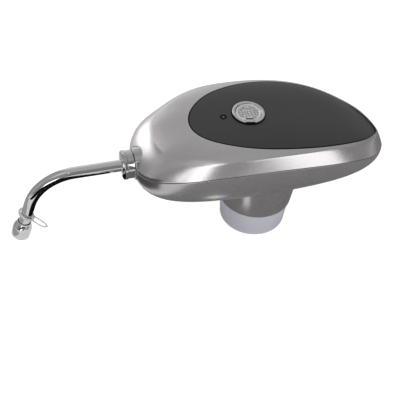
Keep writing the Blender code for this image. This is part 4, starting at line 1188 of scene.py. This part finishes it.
# %% [markdown]
# ## Collar, sleeve and seal
# The collar hangs below the housing in the same silver. Its side swells a little towards
# the top on a quarter of a sine wave, because a straight side would look like a tin.

# %% Turn the collar
swell_steps = 16
swell = []
for k in range(swell_steps + 1):
    share = k / swell_steps
    swell.append((33.0 * mm + 2.8 * mm * sin(share * pi / 2), (-11.3 + 41.3 * share) * mm))
collar = turned("neck_collar_shell", [
    (6.4 * mm, 5.6 * mm), (31.8 * mm, 5.6 * mm), (31.8 * mm, -11.3 * mm), *swell,
    (37.8 * mm, 30.0 * mm), (37.8 * mm, 32.5 * mm), (33.2 * mm, 32.5 * mm),
    (33.2 * mm, 8.6 * mm), (6.4 * mm, 8.6 * mm)], steps=192, edge=0.3 * mm, loop=True)
stand_in(collar, "housing", "neck_collar")

# %% [markdown]
# The frosted sleeve inside the collar grips what the pump stands on, and a black seal lies
# at its top. The stem in its middle takes a hose from below, and three barbs keep it on.

# %% Turn the sleeve, its seal and the stem
sleeve = turned("neck_sleeve", in_mm(
    (18, 2.3), (28.4, 2.3), (28.2, -20), (28.0, -38), (29.6, -38), (31.5, -11.3), (31.5, 5.3),
    (18, 5.3)), steps=192, edge=0.35 * mm, loop=True)
stand_in(sleeve, "housing", "bottle_adapter")

rim_seal = turned("rim_seal_ring", in_mm(
    (19, 0), (27.4, 0), (27.4, 2), (19, 2)), steps=128, edge=0.25 * mm, loop=True)
stand_in(rim_seal, "housing", "rim_seal")

bore, stem_radius, barb_radius = 2.2 * mm, 3.5 * mm, 4.2 * mm
barbs = []
for k in range(3):
    barbs += [(stem_radius, (-20 + 4 * k) * mm), (barb_radius, (-16 + 4 * k) * mm)]
stem = turned("intake_barb", [
    (bore, -20 * mm), *barbs, (stem_radius, -8 * mm), (stem_radius, -2 * mm),
    (6.1 * mm, -2 * mm), (6.1 * mm, 8.9 * mm), (12 * mm, 8.9 * mm), (12 * mm, 10.9 * mm),
    (stem_radius, 10.9 * mm), (stem_radius, 44 * mm), (bore, 44 * mm)],
    steps=72, edge=0.15 * mm, loop=True)
stand_in(stem, "housing", "intake_stem")

# %% [markdown]
# ## Charging socket and screws
# The tail holds a round charging socket with a pin. It is turned in one piece: the section
# goes in and out again, and leaves the pin standing in the middle.

# %% Turn the charging socket
charging = turned("charge_jack", in_mm(
    (0, 93.5), (4.0, 93.5), (4.0, 105.5), (2.9, 105.5), (2.9, 97.5), (0.9, 97.5), (0.9, 103.1),
    (0.5, 103.5), (0, 103.5)), (0, 0, socket_height), (1, 0, 0), 64, edge=0.15 * mm)
stand_in(charging, "housing", "charge_socket")

# %% [markdown]
# The screws in the wells have a cross in their heads, cut by two blocks. One screw is made,
# and the rest are copies with their own mesh, each put into its own well.

# %% Turn one screw and copy it
screw = turned("case_screw_1", in_mm(
    (0, -1.8), (1.6, -1.75), (2.3, -1.4), (2.7, -0.6), (2.7, 0), (1.4, 0), (1.4, 11), (0.5, 12),
    (0, 12)), steps=40)
for across_x, across_y in ((2.8, 0.7), (0.7, 2.8)):
    cross = block((0, 0, -1.6), (across_x, across_y, 1.6))
    settle(cross)
    carve(screw, cross)
smooth(screw)
screws = [screw]
for number in range(2, 5):
    twin = screw.copy()
    twin.data = screw.data.copy()
    twin.name = f"case_screw_{number}"
    bpy.context.collection.objects.link(twin)
    screws.append(twin)
screw_height = well_roof - gap
for number, (piece, (x, y)) in enumerate(zip(screws, wells), 1):
    piece.location = (x, y, screw_height)
    settle(piece)
    stand_in(piece, "housing", f"shell_screw_{number}")

# %% [markdown]
# ## Hoses
# Two soft hoses join the stem, the pump and the seat of the spout. They lie on the routes
# of the CAD model, but rounder: each corner is one smooth bend between two straights. The
# places come from the boxes of the CAD's own solids, so the hoses meet what they join.

# %% Draw the hoses
def bend_between(start, leaving, end, arriving, steps=14):
    """A smooth bend that starts along one handle and ends along the other."""
    points = []
    for k in range(1, steps + 1):
        t = k / steps
        points.append((1 - t) ** 3 * start + 3 * t * (1 - t) ** 2 * (start + leaving)
                      + 3 * t * t * (1 - t) * (end - arriving) + t ** 3 * end)
    return points


hose_radius, hose_wall = 5.1 * mm, 1.4 * mm
hose_room = hose_radius + 0.1 * mm


def hose(name, route, node):
    """A soft hose with a real bore."""
    piece = wire(name, route, hose_radius, 8, closed_ends=False)
    apply(piece, "SOLIDIFY", thickness=hose_wall, offset=-1)
    weld(piece)
    smooth(piece, 60)
    stand_in(piece, "housing", node)


hose_low, hose_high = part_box("outlet_hose")
middle_y = (hose_low[1] + hose_high[1]) / 2
line_steps = 6
hose("outlet_line", [
    (hose_high[0] + (hose_low[0] - hose_high[0]) * k / line_steps, middle_y, spout_height)
    for k in range(line_steps + 1)], "outlet_hose")

line_low, line_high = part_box("inlet_hose")
motor_height, beside_motor = 51.9 * mm, line_high[1] - hose_room
port_station = line_low[0] + hose_room
port_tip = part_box("pump_housing")[1][1]
corner = beside_motor - port_tip
route = [Vector((0, 0, 37.2 * mm)), Vector((0, 0, 44.3 * mm))]
route += bend_between(route[-1], Vector((0, 0, 22 * mm)),
                      Vector((-24 * mm, beside_motor, motor_height)), Vector((-22 * mm, 0, 0)))
route.append(Vector((port_station + corner, beside_motor, motor_height)))
route += bend_between(route[-1], Vector((-corner / 2, 0, 0)),
                      Vector((port_station, port_tip, motor_height)), Vector((0, -corner / 2, 0)))
route.append(Vector((port_station, port_tip - hose_room, motor_height)))
hose("inlet_line", route, "inlet_hose")

# %% [markdown]
# ## Floor, cards and lamps
# The photograph has a white ground and the soft, wide lamps of a product studio. A floor
# that is lit like a wall would turn grey at its far end, so this one glows: white for the
# camera, and only pale grey in a mirror, or the chrome would have no dark side.

# %% Lay the floor
paint = Finish("white_floor", Base_Color=shade(0.80, 0.80, 0.80), Roughness=0.9,
               Specular_IOR_Level=0.0, Emission_Strength=1.0)
seen, mirrored, through = paint.rays()
paint.set(Emission_Color=(seen * 0.64 + mirrored * 0.22 + through * 0.55).held())

deselect()
bpy.ops.mesh.primitive_plane_add(size=8, location=(0, 0, cad_box[0][2] - 0.1 * mm))
floor = bpy.context.object
floor.name = "floor"
floor.data.materials.append(paint.material)

# %% [markdown]
# Chrome and lacquer show what stands round them. So flat cards stand and lie about, where
# only reflections see them: dark ones for the dark bands on the spout and the belly, and
# pale, glowing ones for the lights in them. Each is a plain rectangle or a slanted sheet.

# %% Put up the cards
def card(name, corners, grey=0.0, glow=0.0):
    """A card that only reflections see, by its four corners in millimetres."""
    deselect()
    bpy.ops.mesh.primitive_plane_add(size=1)
    sheet = bpy.context.object
    sheet.name = name
    for point, corner in zip(sheet.data.vertices, corners):
        point.co = [value * mm for value in corner]
    paper = Finish(name, Base_Color=shade(grey, grey, grey), Roughness=1.0,
                   Specular_IOR_Level=0.0, Emission_Color=shade(1, 1, 1),
                   Emission_Strength=glow)
    sheet.data.materials.append(paper.material)
    sheet.visible_camera = sheet.visible_diffuse = sheet.visible_shadow = False
    sheet.visible_transmission = False


# A primitive plane has its corners in rows: left and right in front, then at the back.
def lying(left, right, front, back, height):
    return [(x, y, height) for y in (front, back) for x in (left, right)]


def standing(left, right, station, foot, top):
    return [(x, station, z) for z in (foot, top) for x in (left, right)]


ground = cad_box[0][2] / mm
just_over, collar_level = ground + 2, ground + 4
card("card_below", [(-119, -270, just_over), (700, -270, just_over),
                    (-119, 30, just_over), (700, 500, just_over)], grey=0.28)
card("card_outlet", lying(-600, -252, -60, 110, just_over), glow=0.40)
card("card_nut", lying(-206, -139, 24, 170, just_over), glow=0.42)
card("card_collar", [(-60, -56, collar_level), (-45, -66, collar_level),
                     (-42, -42, collar_level), (-30, -52, collar_level)], grey=0.5, glow=0.85)
card("card_spout", [(-310, -120, 47), (-185, -120, 47), (-310, -50, 6), (-136, -50, 6)],
     grey=0.01)
card("card_under", lying(-205, -128, -52, 30, 4), grey=0.01)
card("card_behind", standing(-700, -185, 80, -30, 150), glow=0.36)
card("card_flag", standing(-420, -180, -90, 74, 240), glow=0.3)
card("card_streak", standing(-320, -285, -150, just_over, 25), glow=1.2)

# %% [markdown]
# Three soft boxes do the lighting. One strip on the left draws the long highlight of the
# shoulder, a wide box on the right fills the belly, and a small one behind the nose lights
# its far side. Their size in the highlights matters as much as their power.

# %% Hang the lamps
def soft_box(name, place, target, width, height, power):
    deselect()
    bpy.ops.object.light_add(type="AREA", location=place)
    lamp = bpy.context.object
    lamp.name = name
    lamp.data.shape = "RECTANGLE"
    lamp.data.size, lamp.data.size_y = width, height
    lamp.data.energy = power
    lamp.rotation_mode = "QUATERNION"
    lamp.rotation_quaternion = (Vector(target) - Vector(place)).to_track_quat("-Z", "Y")
    print(name, width, "by", height, "m,", power, "W")


def from_front(turned_by, lifted, distance=1.2):
    """A place round the pump, by its turn from the front and its height, in degrees."""
    turned_by, lifted = radians(turned_by), radians(lifted)
    return (distance * sin(turned_by) * cos(lifted), -distance * cos(turned_by) * cos(lifted),
            distance * sin(lifted) + pump_middle[2])


pump_middle = (0, 0, 0.06)
soft_box("left_strip", from_front(-32, 28), pump_middle, width=0.50, height=1.15, power=4.2)
soft_box("right_box", from_front(39, 20), pump_middle, width=0.80, height=0.95, power=4.6)
soft_box("nose_box", from_front(-143, 20), (-0.05, 0, 0.06), width=0.36, height=0.36, power=1.55)

# %% [markdown]
# The room itself is only sums on the direction a ray leaves in. The camera sees plain white.
# Mirrors see a grey room that is brighter behind, darker on the right and dim in front, with
# a few soft patches overhead, and everything else gets a little even light. A picture of a
# real room would do the same, but sums can be moved by a hand's width.

# %% Paint the room
world = bpy.data.worlds.new("studio")
bpy.context.scene.world = world
world.use_nodes = True
room = Blend(world.node_tree)
seen, mirrored, through = room.rays()
to_right, to_back, overhead = room.axes(room.node("ShaderNodeTexCoord"))

even_light = 0.45
behind, on_right = (to_back * 1.6).held(), (to_right * 1.3).held()
low = (1.0 - overhead * 1.7).held()
in_front = ((0.0 - to_back) * 3.0).held() * (1.0 - (overhead - 0.78) * 8.0).held()
back_ceiling = (to_back * 2.0 - 0.6).held() * overhead
left_behind = ((0.2 - to_right) * 2.0).held() * behind * overhead
ceiling = ((overhead - 0.85) * 6.0).held()
window = ((overhead * 0.88 - to_right * 0.41 - to_back * 0.22 - 0.92) * 14.0).held()

walls = even_light + behind * low * (1.0 - on_right) * 0.8 - on_right * low * 0.28
walls = walls * (1.0 - in_front * 0.45)
room_glow = walls + back_ceiling * 0.3 - left_behind * 0.16 + ceiling * 0.06 + window * 0.28

elsewhere = 1.0 - (seen + through + mirrored).held()
strength = (seen + through).held() + mirrored * room_glow + elsewhere * even_light
background = world.node_tree.nodes["Background"]
background.inputs["Strength"].default_value = 1.0
world.node_tree.links.new(strength.socket, background.inputs["Color"])
print(len(world.node_tree.nodes), "nodes paint the room")

bpy.context.scene.view_settings.view_transform = "Standard"
